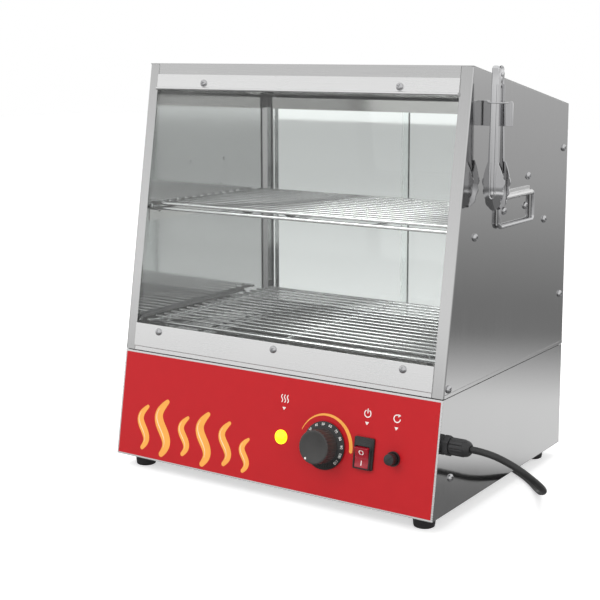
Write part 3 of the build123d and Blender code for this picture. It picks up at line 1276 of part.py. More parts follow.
def least_gap(path):
    """Smallest distance between the tube's walls, away from its own neighbourhood."""
    spacing = 4.0
    count = int(path.length / spacing)
    samples = [path @ (index / count) for index in range(count + 1)]
    apart = int(3 * CORD_DIAMETER / spacing) + 1
    gaps = [
        (samples[i] - samples[j]).length - CORD_DIAMETER
        for i in range(len(samples))
        for j in range(i + apart, len(samples))
    ]
    return min(gaps)


def mains_plug():
    """Moulded plug with two flat blades and an earth pin, lying behind the coil."""
    entry = coil_point(COIL_END_ANGLE) + Vector(-COIL_TAIL, 0, 0)
    grip = 2 * entry.Z
    neck = 12.0
    sections = [
        Circle(CORD_RADIUS + 1.6),
        Pos(0, 0, neck) * RectangleRounded(14.0, 13.0, 5.0),
        Pos(0, 0, neck + 10.0) * RectangleRounded(PLUG_WIDTH - 4.0, grip - 3.0, 6.0),
        Pos(0, 0, PLUG_LENGTH) * RectangleRounded(PLUG_WIDTH, grip, 6.0),
    ]
    body = loft(sections[:1] + sections[1:2], ruled=True)
    body += loft(sections[1:], ruled=True)
    width, thick, length = PLUG_BLADE
    for side in (-1, 1):
        body += Pos(side * PLUG_BLADE_SPACING / 2, -3.0, PLUG_LENGTH + length / 2) * Box(thick, width, length)
    body += Pos(0, PLUG_EARTH_OFFSET - 3.0, PLUG_LENGTH + length / 2) * Cylinder(PLUG_EARTH_RADIUS, length)
    place = Plane(origin=entry, x_dir=(0, 1, 0), z_dir=(-1, 0, 0))
    return place.location * body


# ---------------------------------------------------------------- whole steamer
def build():
    keep("base_shell", base_shell())
    keep("base_front_panel", base_front_panel())
    keep("panel_overlay", panel_overlay())
    keep("base_bottom_plate", base_bottom_plate())
    for name, (x, y) in zip(("front_left", "front_right", "rear_left", "rear_right"), foot_places()):
        keep(f"foot_{name}", foot(x, y))
    keep("base_side_screws", base_side_screws())
    keep("foot_screws", Compound([foot_screw(x, y) for x, y in foot_places()]))
    keep("water_pan", water_pan())
    keep("heating_element", heating_element())
    keep("drain_valve_body", drain_valve_body())
    keep("drain_valve_lever", drain_valve_lever())

    keep("indicator_lamp_body", indicator_lamp_body())
    keep("indicator_lamp_lens", indicator_lamp_lens())
    keep("thermostat_body", thermostat_body())
    keep("thermostat_shaft", thermostat_shaft())
    keep("thermostat_knob", thermostat_knob())
    keep("thermostat_bulb", thermostat_bulb())
    keep("rocker_switch_housing", rocker_switch_housing())
    keep("rocker_switch_actuator", rocker_switch_actuator())
    keep("reset_thermostat", reset_thermostat())
    keep("reset_cap", reset_cap())
    keep("reset_pin", reset_pin())

    keep("side_panel_right", side_panel())
    keep("side_panel_left", mirrored(side_panel()))
    keep("roof_and_header", roof_and_header())
    keep("header_cover_strip", header_cover_strip())
    keep("front_glass", front_glass())
    keep("front_sill", front_sill())
    keep("glass_gasket", glass_gasket())
    keep("glass_retainer_strip", glass_retainer_strip())
    keep("front_screws", front_screws())
    keep("glass_clips", Compound(glass_clips() + [mirrored(clip) for clip in glass_clips()]))
    keep("cabinet_gasket", cabinet_gasket())
    keep("bun_rack_supports", Compound([rack_support(), mirrored(rack_support())]))
    keep("wall_screws", wall_screws())
    keep("bun_rack", bun_rack())
    keep("hot_dog_rack", hot_dog_rack())

    keep("door_track_bottom", door_track_bottom())
    keep("door_track_top", door_track_top())
    for index, side in enumerate(("left", "right")):
        keep(f"sliding_door_{side}", sliding_door(index))
        keep(f"door_pull_{side}", door_pull(index))

    keep("handle_bracket_right", handle_bracket())
    keep("handle_bracket_left", mirrored(handle_bracket()))
    keep("handle_bail_right", handle_bail())
    keep("handle_bail_left", mirrored(handle_bail()))
    keep("tongs_holder", tongs_holder())
    keep("tongs_front_arm", tongs_arm(0.0, -1))
    keep("tongs_rear_arm", tongs_arm(2 * (ARM_SHEET + ARM_FIT), 1))
    keep("tongs_pin", tongs_pin())
    keep("tongs_lock_ring", tongs_lock_ring())

    keep("cord_gland_body", cord_gland_body())
    keep("cord_gland_nut", cord_gland_nut())
    keep("power_cord", power_cord())
    keep("power_cord_coil", power_cord_coil())
    keep("mains_plug", mains_plug())


def model_origin():
    """Middle of the steamer without its cord: between the left bail and the tongs' holder, and
    between the knob and the drain spout."""
    right = CABINET_HALF + HOLDER_REACH
    left = -bail_x() - BAIL_RADIUS
    knob_front = SKIRT_STANDOFF + SKIRT_THICK + CAP_HEIGHT
    front = (CONTROL_ROW * sin(FRONT_LEAN)) - knob_front * cos(FRONT_LEAN) - CAP_RADIUS * sin(FRONT_LEAN)
    back = BODY_DEPTH + DRAIN_BEHIND + DRAIN_BODY_LENGTH + DRAIN_SPOUT
    return Vector((left + right) / 2, (front + back) / 2, 0)


def write():
    os.makedirs("parts", exist_ok=True)
    origin = model_origin()
    print("origin in the drawing's directions:", round(origin.X, 3), round(origin.Y, 3))
    for name, shape in nodes.items():
        export_step(shape.moved(Location(-origin)), f"parts/{name}.step")


build()
write()
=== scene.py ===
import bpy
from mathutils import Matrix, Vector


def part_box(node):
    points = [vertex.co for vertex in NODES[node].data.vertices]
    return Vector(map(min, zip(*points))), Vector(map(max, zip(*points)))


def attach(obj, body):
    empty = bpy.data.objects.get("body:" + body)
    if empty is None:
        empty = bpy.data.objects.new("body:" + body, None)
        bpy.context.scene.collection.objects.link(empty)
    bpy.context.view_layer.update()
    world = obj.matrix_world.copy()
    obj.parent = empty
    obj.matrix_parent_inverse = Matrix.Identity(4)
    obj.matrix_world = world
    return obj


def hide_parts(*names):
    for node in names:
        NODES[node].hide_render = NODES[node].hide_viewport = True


bl_info = {
    "name": "Counter-top sausage steamer",
    "version": (1, 0, 0),
    "blender": (4, 5, 0),
    "location": "3D View > Sidebar > Steamer",
    "description": "Dresses the steamer's frame with its finishes, controls, wires, tongs and cord",
    "category": "Object",
}

import math
from math import cos, pi, radians, sin, tau

import bmesh
import bpy
from mathutils import Matrix, Vector

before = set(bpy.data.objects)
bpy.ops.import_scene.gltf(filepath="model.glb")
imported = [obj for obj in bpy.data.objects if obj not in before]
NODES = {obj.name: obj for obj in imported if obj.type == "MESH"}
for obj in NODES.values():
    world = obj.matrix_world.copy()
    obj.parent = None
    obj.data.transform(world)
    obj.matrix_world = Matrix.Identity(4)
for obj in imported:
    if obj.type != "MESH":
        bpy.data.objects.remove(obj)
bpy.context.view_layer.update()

# The shapes below are drawn in millimetres: x = 0 in the middle of the cabinet, y = 0 at the foot of
# the front, z up from the counter. ORIGIN is that point in the frame, in metres.
MM = 0.001
shell_low, shell_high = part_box("base_shell")
ORIGIN = Vector(((shell_low.x + shell_high.x) / 2, shell_high.y - 0.310, 0.0))
LEAN = radians(9.41)
FOOT_TOP = 15.0
WALL = 200.4
DECK = FOOT_TOP + 117.5 * cos(LEAN)
BUN_SHELF, DOG_RACK, BAIL_TOP = DECK + 154.3, DECK + 30.6, DECK + 184.5
FRONT_TOP = FOOT_TOP + 439.3 * cos(LEAN)
HOLDER_TOP = FRONT_TOP - 33.8
LAMP_X, KNOB_X, SWITCH_X, RESET_X = 19.0, 72.2, 119.0, 152.4
HERE = Matrix.Translation(ORIGIN)
FRONT = Matrix.Translation(ORIGIN + Vector((0, 0, FOOT_TOP * MM))) @ Matrix(
    ((1, 0, 0, 0), (0, sin(LEAN), -cos(LEAN), 0), (0, cos(LEAN), sin(LEAN), 0), (0, 0, 0, 1))
)
CONTROL_ROW = 53.5


def shift(x=0.0, y=0.0, z=0.0):
    """Move in millimetres."""
    return Matrix.Translation(Vector((x, y, z)) * MM)


def turn(degrees, axis="Z"):
    return Matrix.Rotation(radians(degrees), 4, axis)


def on_front(x, up, out=0.0):
    """Place on the slanted front: local x right, y up the slope, z outward."""
    return FRONT @ shift(x, up, out)


def on_wall(side, y, z, out=0.0):
    """Place on a cabinet side, +1 the right one: local z outward, y up."""
    basis = Matrix(((0, 0, side, 0), (side, 0, 0, 0), (0, 1, 0, 0), (0, 0, 0, 1)))
    return HERE @ shift(side * WALL, y, z) @ basis @ shift(0, 0, out)


# ---------------------------------------------------------------- shapes
def add_faces(bm, points, faces):
    made = [bm.verts.new(p) for p in points]
    for face in faces:
        try:
            bm.faces.new([made[i] for i in face])
        except ValueError:
            continue
    return made


def add_skin(bm, rings):
    """Faces between rings of as many vertices each."""
    count = len(rings[0])
    for a, b in zip(rings, rings[1:]):
        for k in range(count):
            bm.faces.new((a[k], a[(k + 1) % count], b[(k + 1) % count], b[k]))


def add_box(bm, x, y, z, bevel=0.0, segments=2, place=Matrix.Identity(4)):
    """Box between two x, two y and two z, its edges rounded."""
    corners = [(a, b, c) for a in x for b in y for c in z]
    part = bmesh.new()
    add_faces(
        part,
        corners,
        [(0, 1, 3, 2), (4, 6, 7, 5), (0, 4, 5, 1), (2, 3, 7, 6), (0, 2, 6, 4), (1, 5, 7, 3)],
    )
    bmesh.ops.recalc_face_normals(part, faces=part.faces)
    if bevel:
        bmesh.ops.bevel(part, geom=part.edges[:], offset=bevel, segments=segments, profile=0.5,
            affect="EDGES")
    join(bm, part, place)


def join(bm, part, place=Matrix.Identity(4)):
    """Adds one shape to another, and frees it."""
    part.transform(place)
    holder = bpy.data.meshes.new("holder")
    part.to_mesh(holder)
    part.free()
    bm.from_mesh(holder)
    bpy.data.meshes.remove(holder)


def add_lathe(bm, profile, steps=48, place=Matrix.Identity(4), ripple=None):
    """Turns a profile of (radius, height) round z. ripple(angle, index) scales the radius."""
    part = bmesh.new()
    rings = []
    for index, (radius, height) in enumerate(profile):
        if radius < 1e-6:
            rings.append([part.verts.new((0, 0, height))])
            continue
        ring = []
        for step in range(steps):
            angle = tau * step / steps
            r = radius * (ripple(angle, index) if ripple else 1.0)
            ring.append(part.verts.new((r * cos(angle), r * sin(angle), height)))
        rings.append(ring)
    for below, above in zip(rings, rings[1:]):
        for step in range(steps):
            after = (step + 1) % steps
            if len(below) == 1 and len(above) == 1:
                continue
            if len(below) == 1:
                part.faces.new((below[0], above[after], above[step]))
            elif len(above) == 1:
                part.faces.new((below[step], below[after], above[0]))
            else:
                part.faces.new((below[step], below[after], above[after], above[step]))
    for ring, flip in ((rings[0], True), (rings[-1], False)):
        if len(ring) > 1:
            part.faces.new(ring[::-1] if flip else ring)
    join(bm, part, place)


def add_tube(bm, points, radius, steps=12, closed=False, ends=True, place=Matrix.Identity(4)):
    """Round wire through points; radius is a number or one per point."""
    part = bmesh.new()
    line = [Vector(p) for p in points]
    count = len(line)
    radii = radius if hasattr(radius, "__len__") else [radius] * count
    directions = []
    for i in range(count):
        if closed:
            d = line[(i + 1) % count] - line[i - 1]
        else:
            d = line[min(i + 1, count - 1)] - line[max(i - 1, 0)]
        directions.append(d.normalized())
    side = directions[0].orthogonal().normalized()
    rings = []
    for i in range(count):
        if i:
            side = directions[i - 1].rotation_difference(directions[i]) @ side
        side = (side - directions[i] * side.dot(directions[i])).normalized()
        other = directions[i].cross(side)
        rings.append(
            [
                part.verts.new(line[i] + (side * cos(tau * k / steps) + other * sin(tau * k / steps)) * radii[i])
                for k in range(steps)
            ]
        )
    pairs = list(zip(rings, rings[1:]))
    for a, b in pairs:
        for k in range(steps):
            part.faces.new((a[k], a[(k + 1) % steps], b[(k + 1) % steps], b[k]))
    if closed:
        last, first = rings[-1], rings[0]
        best = min(range(steps), key=lambda s: (last[0].co - first[s].co).length)
        for k in range(steps):
            part.faces.new(
                (last[k], last[(k + 1) % steps], first[(best + k + 1) % steps], first[(best + k) % steps])
            )
    elif ends:
        part.faces.new(rings[0][::-1])
        part.faces.new(rings[-1])
    join(bm, part, place)


def add_prism(bm, outline, z0, z1, bevel=0.0, segments=2, place=Matrix.Identity(4)):
    """Extrudes an outline of (x, y) from z0 to z1, its rims rounded."""
    part = bmesh.new()
    low = [part.verts.new((x, y, z0)) for x, y in outline]
    high = [part.verts.new((x, y, z1)) for x, y in outline]
    count = len(outline)
    for i in range(count):
        after = (i + 1) % count
        part.faces.new((low[i], low[after], high[after], high[i]))
    bottom = part.faces.new(low[::-1])
    top = part.faces.new(high)
    bmesh.ops.recalc_face_normals(part, faces=part.faces)
    if bevel:
        rims = list({e for f in (bottom, top) for e in f.edges})
        bmesh.ops.bevel(part, geom=rims, offset=bevel, segments=segments, profile=0.5, affect="EDGES")
    join(bm, part, place)


def rounded_outline(width, height, radius, steps=6, centre=(0, 0)):
    """Rectangle with round corners, as (x, y) points."""
    points = []
    for cx, cy, start in ((1, 1, 0), (-1, 1, 90), (-1, -1, 180), (1, -1, 270)):
        for k in range(steps + 1):
            angle = radians(start + 90 * k / steps)
            points.append(
                (
                    centre[0] + cx * (width / 2 - radius) + radius * cos(angle),
                    centre[1] + cy * (height / 2 - radius) + radius * sin(angle),
                )
            )
    return points


def bent_wire(corners, radius, steps=6):
    """Points of a rigid wire with rounded corners."""
    line = [Vector(c) for c in corners]
    points = [line[0]]
    for before, here, after in zip(line, line[1:], line[2:]):
        first, second = (before - here).normalized(), (after - here).normalized()
        half = first.angle(second) / 2
        reach = min(radius / math.tan(half), (before - here).length * 0.49, (after - here).length * 0.49)
        start, end = here + first * reach, here + second * reach
        centre_direction = (first + second).normalized()
        centre = here + centre_direction * (reach / cos(half))
        a, b = start - centre, end - centre
        for k in range(steps + 1):
            angle = a.angle(b) * k / steps
            total = a.angle(b)
            points.append(centre + (a * sin(total - angle) + b * sin(angle)) / sin(total))
    points.append(line[-1])
    return points


def piece(bm, name, material, body, place=HERE, replaces=(), soft=35, weld=True):
    """Makes the shape, drawn in millimetres at `place`, into a piece that rides on a body."""
    if weld:
        bmesh.ops.remove_doubles(bm, verts=bm.verts, dist=0.0005)
    bmesh.ops.recalc_face_normals(bm, faces=bm.faces)
    bm.transform(place @ Matrix.Scale(MM, 4))
    for face in bm.faces:
        face.smooth = True
    for edge in bm.edges:
        if len(edge.link_faces) != 2 or edge.calc_face_angle(0) > radians(soft):
            edge.smooth = False
    mesh = bpy.data.meshes.new(name)
    bm.to_mesh(mesh)
    bm.free()
    made = bpy.data.objects.new(name, mesh)
    bpy.context.scene.collection.objects.link(made)
    for item in material if isinstance(material, (list, tuple)) else [material]:
        mesh.materials.append(FINISHES[item])
    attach(made, body)
    if replaces:
        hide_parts(*replaces)
    return made


# ---------------------------------------------------------------- finishes
FINISHES = {}


def linear(red, green, blue):
    """A colour as a picture shows it, 0 to 255, as the shader wants it."""
    return tuple((c / 255 / 12.92) if c <= 10 else ((c / 255 + 0.055) / 1.055) ** 2.4 for c in (red, green,
        blue)) + (1.0,)


class Finish:
    """One node material under construction."""

    def __init__(self, name, colour, rough, metal=0.0):
        self.material = bpy.data.materials.new(name)
        self.material.use_nodes = True
        self.tree = self.material.node_tree
        self.shader = self.tree.nodes["Principled BSDF"]
        self.shader.inputs["Base Color"].default_value = colour
        self.shader.inputs["Roughness"].default_value = rough
        self.shader.inputs["Metallic"].default_value = metal
        self.material.diffuse_color = colour
        FINISHES[name] = self.material

    def node(self, kind, **settings):
        made = self.tree.nodes.new(kind)
        for key, value in settings.items():
            if key in made.inputs:
                made.inputs[key].default_value = value
            else:
                setattr(made, key, value)
        return made

    def link(self, out, into):
        self.tree.links.new(out, into)

    def grain(self, scale, detail=3.0, stretch=(1, 1, 1), rough=0.5):
        """Noise over the object's own directions, stretched; scale is in waves per metre."""
        where = self.node("ShaderNodeTexCoord")
        mapping = self.node("ShaderNodeMapping")
        mapping.inputs["Scale"].default_value = stretch
        noise = self.node("ShaderNodeTexNoise", Scale=scale, Detail=detail, Roughness=rough)
        self.link(where.outputs["Object"], mapping.inputs["Vector"])
        self.link(mapping.outputs["Vector"], noise.inputs["Vector"])
        return noise.outputs["Fac"]

    def between(self, fac, low, high, into):
        """Sends a noise into an input, spread between two values."""
        spread = self.node("ShaderNodeMapRange")
        spread.inputs["From Min"].default_value = 0.3
        spread.inputs["From Max"].default_value = 0.7
        spread.inputs["To Min"].default_value = low
        spread.inputs["To Max"].default_value = high
        self.link(fac, spread.inputs["Value"])
        self.link(spread.outputs["Result"], into)

    def tint(self, fac, first, second, low=0.3, high=0.7):
        ramp = self.node("ShaderNodeValToRGB")
        ramp.color_ramp.elements[0].position = low
        ramp.color_ramp.elements[0].color = first
        ramp.color_ramp.elements[1].position = high
        ramp.color_ramp.elements[1].color = second
        self.link(fac, ramp.inputs["Fac"])
        self.link(ramp.outputs["Color"], self.shader.inputs["Base Color"])

    def bump(self, fac, strength, distance=0.0002, edges=None):
        made = self.node("ShaderNodeBump", Strength=strength, Distance=distance)
        self.link(fac, made.inputs["Height"])
        if edges:
            rim = self.node("ShaderNodeBevel", samples=4, Radius=edges)
            self.link(rim.outputs["Normal"], made.inputs["Normal"])
        self.link(made.outputs["Normal"], self.shader.inputs["Normal"])


def steel(name, colour, dark, rough_low, rough_high, stretch, bump=0.05, edges=None):
    """Stainless sheet: fine brushing along one direction, faint handling marks."""
    made = Finish(name, colour, rough_low, 1.0)
    brushing = made.grain(900.0, 4.0, stretch, 0.65)
    marks = made.grain(14.0, 3.0)
    made.tint(brushing, dark, colour, 0.2, 0.8)
    mixed = made.node("ShaderNodeMath", operation="ADD")
    half = made.node("ShaderNodeMath", operation="MULTIPLY")
    half.inputs[1].default_value = 0.35
    made.link(marks, half.inputs[0])
    made.link(half.outputs[0], mixed.inputs[0])
    scaled = made.node("ShaderNodeMath", operation="MULTIPLY")
    scaled.inputs[1].default_value = 0.65
    made.link(brushing, scaled.inputs[0])
    made.link(scaled.outputs[0], mixed.inputs[1])
    made.between(mixed.outputs[0], rough_low, rough_high, made.shader.inputs["Roughness"])
    made.bump(brushing, bump, 0.00005, edges)
    return made


def plastic(name, colour, other, rough, grain_scale=2600.0, bump=0.12, coat=0.0):
    made = Finish(name, colour, rough)
    fine = made.grain(grain_scale, 3.0)
    broad = made.grain(60.0, 2.0)
    made.tint(broad, colour, other)
    made.between(fine, rough - 0.05, rough + 0.06, made.shader.inputs["Roughness"])
    made.bump(fine, bump, 0.00006)
    made.shader.inputs["Coat Weight"].default_value = coat
    return made


def glass(name, tint, rough=0.02):
    """Clear pane that lets light and shadows through."""
    made = Finish(name, tint, rough)
    made.shader.inputs["Transmission Weight"].default_value = 1.0
    made.shader.inputs["IOR"].default_value = 1.45
    film = made.grain(30.0, 2.0)
    made.between(film, rough, rough + 0.03, made.shader.inputs["Roughness"])
    path = made.node("ShaderNodeLightPath")
    either = made.node("ShaderNodeMath", operation="MAXIMUM")
    made.link(path.outputs["Is Shadow Ray"], either.inputs[0])
    made.link(path.outputs["Is Diffuse Ray"], either.inputs[1])
    through = made.node("ShaderNodeBsdfTransparent")
    through.inputs["Color"].default_value = (0.94, 0.97, 0.96, 1)
    mix = made.node("ShaderNodeMixShader")
    out = made.tree.nodes["Material Output"]
    made.link(either.outputs[0], mix.inputs["Fac"])
    made.link(made.shader.outputs[0], mix.inputs[1])
    made.link(through.outputs[0], mix.inputs[2])
    made.link(mix.outputs[0], out.inputs["Surface"])
    return made


class SteamerColours(bpy.types.PropertyGroup):
    panel: bpy.props.FloatVectorProperty(
        name="Panel",
        description="Printed film of the control panel",
        subtype="COLOR",
        default=linear(184, 26, 33)[:3],
    )
    motif: bpy.props.FloatVectorProperty(
        name="Motif",
        description="Steam strokes on the panel",
        subtype="COLOR",
        default=linear(246, 172, 76)[:3],
    )
    lamp: bpy.props.FloatVectorProperty(
        name="Lamp",
        description="Lit signal lamp",
        subtype="COLOR",
        default=linear(255, 232, 20)[:3],
    )


class SteamerSizes(bpy.types.PropertyGroup):
    rack_wire: bpy.props.FloatProperty(
        name="Rack wire",
        description="Diameter of a rack's deck wires, in millimetres",
        default=2.6,
        min=1.0,
        max=5.0,
    )
    numerals: bpy.props.FloatProperty(
        name="Numerals",
        description="Height of the dial's numbers, in millimetres",
        default=3.1,
        min=1.0,
        max=6.0,
    )


def grey(value):
    return (value, value, value, 1)


class STEAMER_OT_finishes(bpy.types.Operator):
    """Makes every finish and gives it to the frame's own parts"""

    bl_idname = "steamer.finishes"
    bl_label = "Finishes"

    def execute(self, context):
        colours = context.scene.steamer_colours
        along_x, along_y, along_z = (0.02, 1, 1), (1, 0.02, 1), (1, 1, 0.02)
        light, shade = grey(0.62), grey(0.56)
        # Front steel is the roof's brushed steel with its colour raised from 0.62 to 0.86. That raise is painted
        # light: it makes the front sheets, and the bail straps that share this finish, brighter than the lamps
        # light them.
        steel("front_steel", grey(0.86), grey(0.81), 0.22, 0.30, along_x, 0.04, 0.0005)
        steel("side_steel", grey(0.56), grey(0.53), 0.07, 0.11, along_z, 0.015, 0.0005)
        steel("roof_steel", light, shade, 0.22, 0.30, along_x, 0.04, 0.0006)
        steel("inner_steel", (0.60, 0.59, 0.58, 1), (0.54, 0.53, 0.52, 1), 0.12, 0.20, along_x, 0.03)
        steel("pan_steel", grey(0.55), grey(0.48), 0.24, 0.36, along_y, 0.06)
        steel("wire_plated", grey(0.66), grey(0.58), 0.12, 0.20, (1, 1, 1), 0.03)
        steel("tongs_steel", (0.68, 0.68, 0.69, 1), (0.62, 0.62, 0.63, 1), 0.07, 0.14, along_z, 0.02)
        steel("screw_zinc", (0.64, 0.64, 0.65, 1), (0.56, 0.56, 0.57, 1), 0.14, 0.24, (1, 1, 1), 0.05)
        steel("brass_nickel", (0.60, 0.52, 0.38, 1), (0.52, 0.44, 0.31, 1), 0.20, 0.32, (1, 1, 1), 0.05)
        heater = steel("heater_tube", (0.20, 0.18, 0.16, 1), (0.13, 0.11, 0.10, 1), 0.32, 0.48, (1, 1, 1),
            0.1)
        blued = heater.grain(25.0, 2.0)
        heater.tint(blued, (0.12, 0.10, 0.09, 1), (0.24, 0.20, 0.15, 1))
        panel = tuple(colours.panel) + (1.0,)
        deep = tuple(c * 0.97 for c in colours.panel) + (1.0,)
        film = plastic("panel_film", panel, deep, 0.34, 1800.0, 0.03, 0.08)
        film.shader.inputs["Specular IOR Level"].default_value = 0.25
        film.shader.inputs["Coat Roughness"].default_value = 0.12
        motif = tuple(colours.motif) + (1.0,)
        plastic("print_orange", motif, tuple(c * 0.93 for c in colours.motif) + (1.0,), 0.32, 1800.0, 0.03)
        plastic("print_pale", linear(250, 226, 190), linear(248, 220, 180), 0.32, 1800.0, 0.03)
        plastic("print_white", linear(240, 238, 234), linear(232, 230, 226), 0.36, 1800.0, 0.03)
        plastic("black_moulded", (0.020, 0.020, 0.021, 1), (0.028, 0.028, 0.029, 1), 0.34, 3200.0, 0.25)
        plastic("black_satin", grey(0.012), grey(0.018), 0.28, 2600.0, 0.1)
        plastic("knob_cap", (0.038, 0.037, 0.036, 1), (0.046, 0.045, 0.044, 1), 0.38, 3000.0, 0.3)
        plastic("rubber_foot", (0.016, 0.015, 0.016, 1), (0.024, 0.022, 0.024, 1), 0.62, 2200.0, 0.4)
        plastic("cord_jacket", grey(0.016), grey(0.022), 0.40, 1600.0, 0.15)
        plastic("seal_rubber", grey(0.020), grey(0.03), 0.7, 1800.0, 0.3)
        plastic("phenolic", (0.62, 0.58, 0.50, 1), (0.56, 0.52, 0.45, 1), 0.45, 1500.0, 0.2)
        plastic("feed_wire", (0.4, 0.03, 0.03, 1), (0.35, 0.03, 0.03, 1), 0.4, 1500.0, 0.1)
        rocker = plastic("rocker_red", linear(176, 26, 44), linear(160, 20, 38), 0.18, 1500.0, 0.03, 0.4)
        rocker.shader.inputs["Transmission Weight"].default_value = 0.15
        rocker.shader.inputs["Subsurface Weight"].default_value = 0.1
        lamp = plastic("lamp_lit", tuple(colours.lamp) + (1.0,), linear(255, 210, 10), 0.14, 900.0, 0.02,
            0.5)
        lamp.shader.inputs["Emission Color"].default_value = linear(255, 236, 30)
        lamp.shader.inputs["Emission Strength"].default_value = 1.1
        glass("front_pane", (0.96, 0.98, 0.97, 1), 0.01)
        glass("door_pane", (0.95, 0.98, 0.97, 1), 0.015)
        shown = {
            "front_steel": ("base_front_panel", "header_cover_strip", "glass_retainer_strip", "front_sill"),
            "roof_steel": ("roof_and_header",),
            "side_steel": ("side_panel_right", "side_panel_left", "base_shell"),
            "inner_steel": ("bun_rack_supports", "glass_clips", "door_track_bottom", "door_track_top"),
            "pan_steel": ("water_pan", "base_bottom_plate"),
            "heater_tube": ("heating_element",),
            "lamp_lit": ("indicator_lamp_body",),
            "panel_film": ("panel_overlay",),
            "front_pane": ("front_glass",),
            "door_pane": ("sliding_door_left", "sliding_door_right"),
            "seal_rubber": ("glass_gasket", "cabinet_gasket"),
            "phenolic": ("thermostat_body",),
            "brass_nickel": ("thermostat_shaft", "thermostat_bulb", "drain_valve_body",
                "drain_valve_lever"),
            "black_moulded": ("reset_thermostat", "reset_pin", "door_pull_left", "door_pull_right"),
        }
        for finish, names in shown.items():
            for name in names:
                NODES[name].data.materials.clear()
                NODES[name].data.materials.append(FINISHES[finish])
        return {"FINISHED"}


# ---------------------------------------------------------------- screws, feet and seams
def cross_head(radius=4.0, height=2.6):
    """Pan head with a cross recess, on z = 0."""
    bm = bmesh.new()
    profile = [
        (0, height),
        (radius * 0.45, height * 0.97),
        (radius * 0.72, height * 0.84),
        (radius * 0.90, height * 0.60),
        (radius * 0.985, height * 0.30),
        (radius, height * 0.08),
        (radius * 0.97, 0),
        (0, 0),
    ]
    add_lathe(bm, profile[::-1], 36)
    mesh = bpy.data.meshes.new("cut_head")
    bm.to_mesh(mesh)
    bm.free()
    cutter_bm = bmesh.new()
    for angle in (25, 115):
        part = bmesh.new()
        add_prism(
            part,
            [(-radius * 0.58, -0.42), (radius * 0.58, -0.42), (radius * 0.58, 0.42),
                (-radius * 0.58, 0.42)],
            height * 0.42,
            height + 1,
            0.0,
        )
        join(cutter_bm, part, turn(angle))
    cutter_mesh = bpy.data.meshes.new("cross")
    cutter_bm.to_mesh(cutter_mesh)
    cutter_bm.free()
    head = bpy.data.objects.new("cut_head", mesh)
    cutter = bpy.data.objects.new("cross", cutter_mesh)
    for o in (head, cutter):
        bpy.context.scene.collection.objects.link(o)
    cut = head.modifiers.new("cross", "BOOLEAN")
    cut.operation, cut.object, cut.solver = "DIFFERENCE", cutter, "EXACT"
    cut.use_self = True
    graph = bpy.context.evaluated_depsgraph_get()
    made = bpy.data.meshes.new_from_object(head.evaluated_get(graph))
    for o in (head, cutter):
        bpy.data.objects.remove(o)
    return made


SIDE_SCREWS = [
    (80.6, BUN_SHELF - 3.7),
    (248.8, BUN_SHELF - 3.7),
    (145.8, BAIL_TOP - 14.4),
    (198.0, BAIL_TOP - 14.0),
    (204.0, BAIL_TOP + 16.9),
    (140.4, BAIL_TOP + 16.9),
    (298.0, 355.9),
    (298.0, DECK + 60.4),
    (29.5, DECK + 9.1),
]
FRONT_SCREWS = [(-122.3, 417.6), (122.3, 417.6), (-154.3, 141.9), (0, 141.9), (154.3, 141.9)]
FOOT_X = 178.5
FEET = [(x, y) for y in (25.0, 285.0) for x in (-FOOT_X, FOOT_X)]


class STEAMER_OT_fixings(bpy.types.Operator):
    """Screws and rubber feet"""

    bl_idname = "steamer.fixings"
    bl_label = "Screws and feet"

    def execute(self, context):
        head = cross_head()
        inverse = (HERE @ Matrix.Scale(MM, 4)).inverted()

        def heads(places, name, node, scale=1.0):
            bm = bmesh.new()
            for index, place in enumerate(places):
                part = bmesh.new()
                part.from_mesh(head)
                local = inverse @ place @ turn(37 * index) @ Matrix.Scale(MM * scale, 4)
                join(bm, part, local)
            piece(bm, name, "screw_zinc", "steamer", HERE, (node,), weld=False)

        heads([on_front(x, up, 1.2) for x, up in FRONT_SCREWS], "front_screw_heads", "front_screws")
        sides = [on_wall(side, y, z) for side in (1, -1) for y, z in SIDE_SCREWS]
        heads(sides, "wall_screw_heads", "wall_screws")
        low = [on_wall(side, 37.1, FOOT_TOP + 34.4, -0.4) for side in (1, -1)]
        heads(low, "base_screw_heads", "base_side_screws")
        under = [HERE @ shift(x, y, 7.5) @ turn(180, "X") for x, y in FEET]
        heads(under, "foot_screw_heads", "foot_screws")
        bpy.data.meshes.remove(head)

        names = ("foot_front_left", "foot_front_right", "foot_rear_left", "foot_rear_right")
        profile = [(5.0, 7.5), (5.0, 0.6), (5.6, 0), (9.6, 0), (10.5, 0.5), (10.85, 1.5), (11.3, 6.0),
            (11.8, 12.6), (12.0, 14.4), (11.7, 15.0), (2.0, 15.0), (2.0, 7.5), (5.0, 7.5)]
        for name, (x, y) in zip(names, FEET):
            bm = bmesh.new()
            add_lathe(bm, profile, 48)
            piece(bm, name + "_rubber", "rubber_foot", "steamer", HERE @ shift(x, y, 0), (name,))
        return {"FINISHED"}


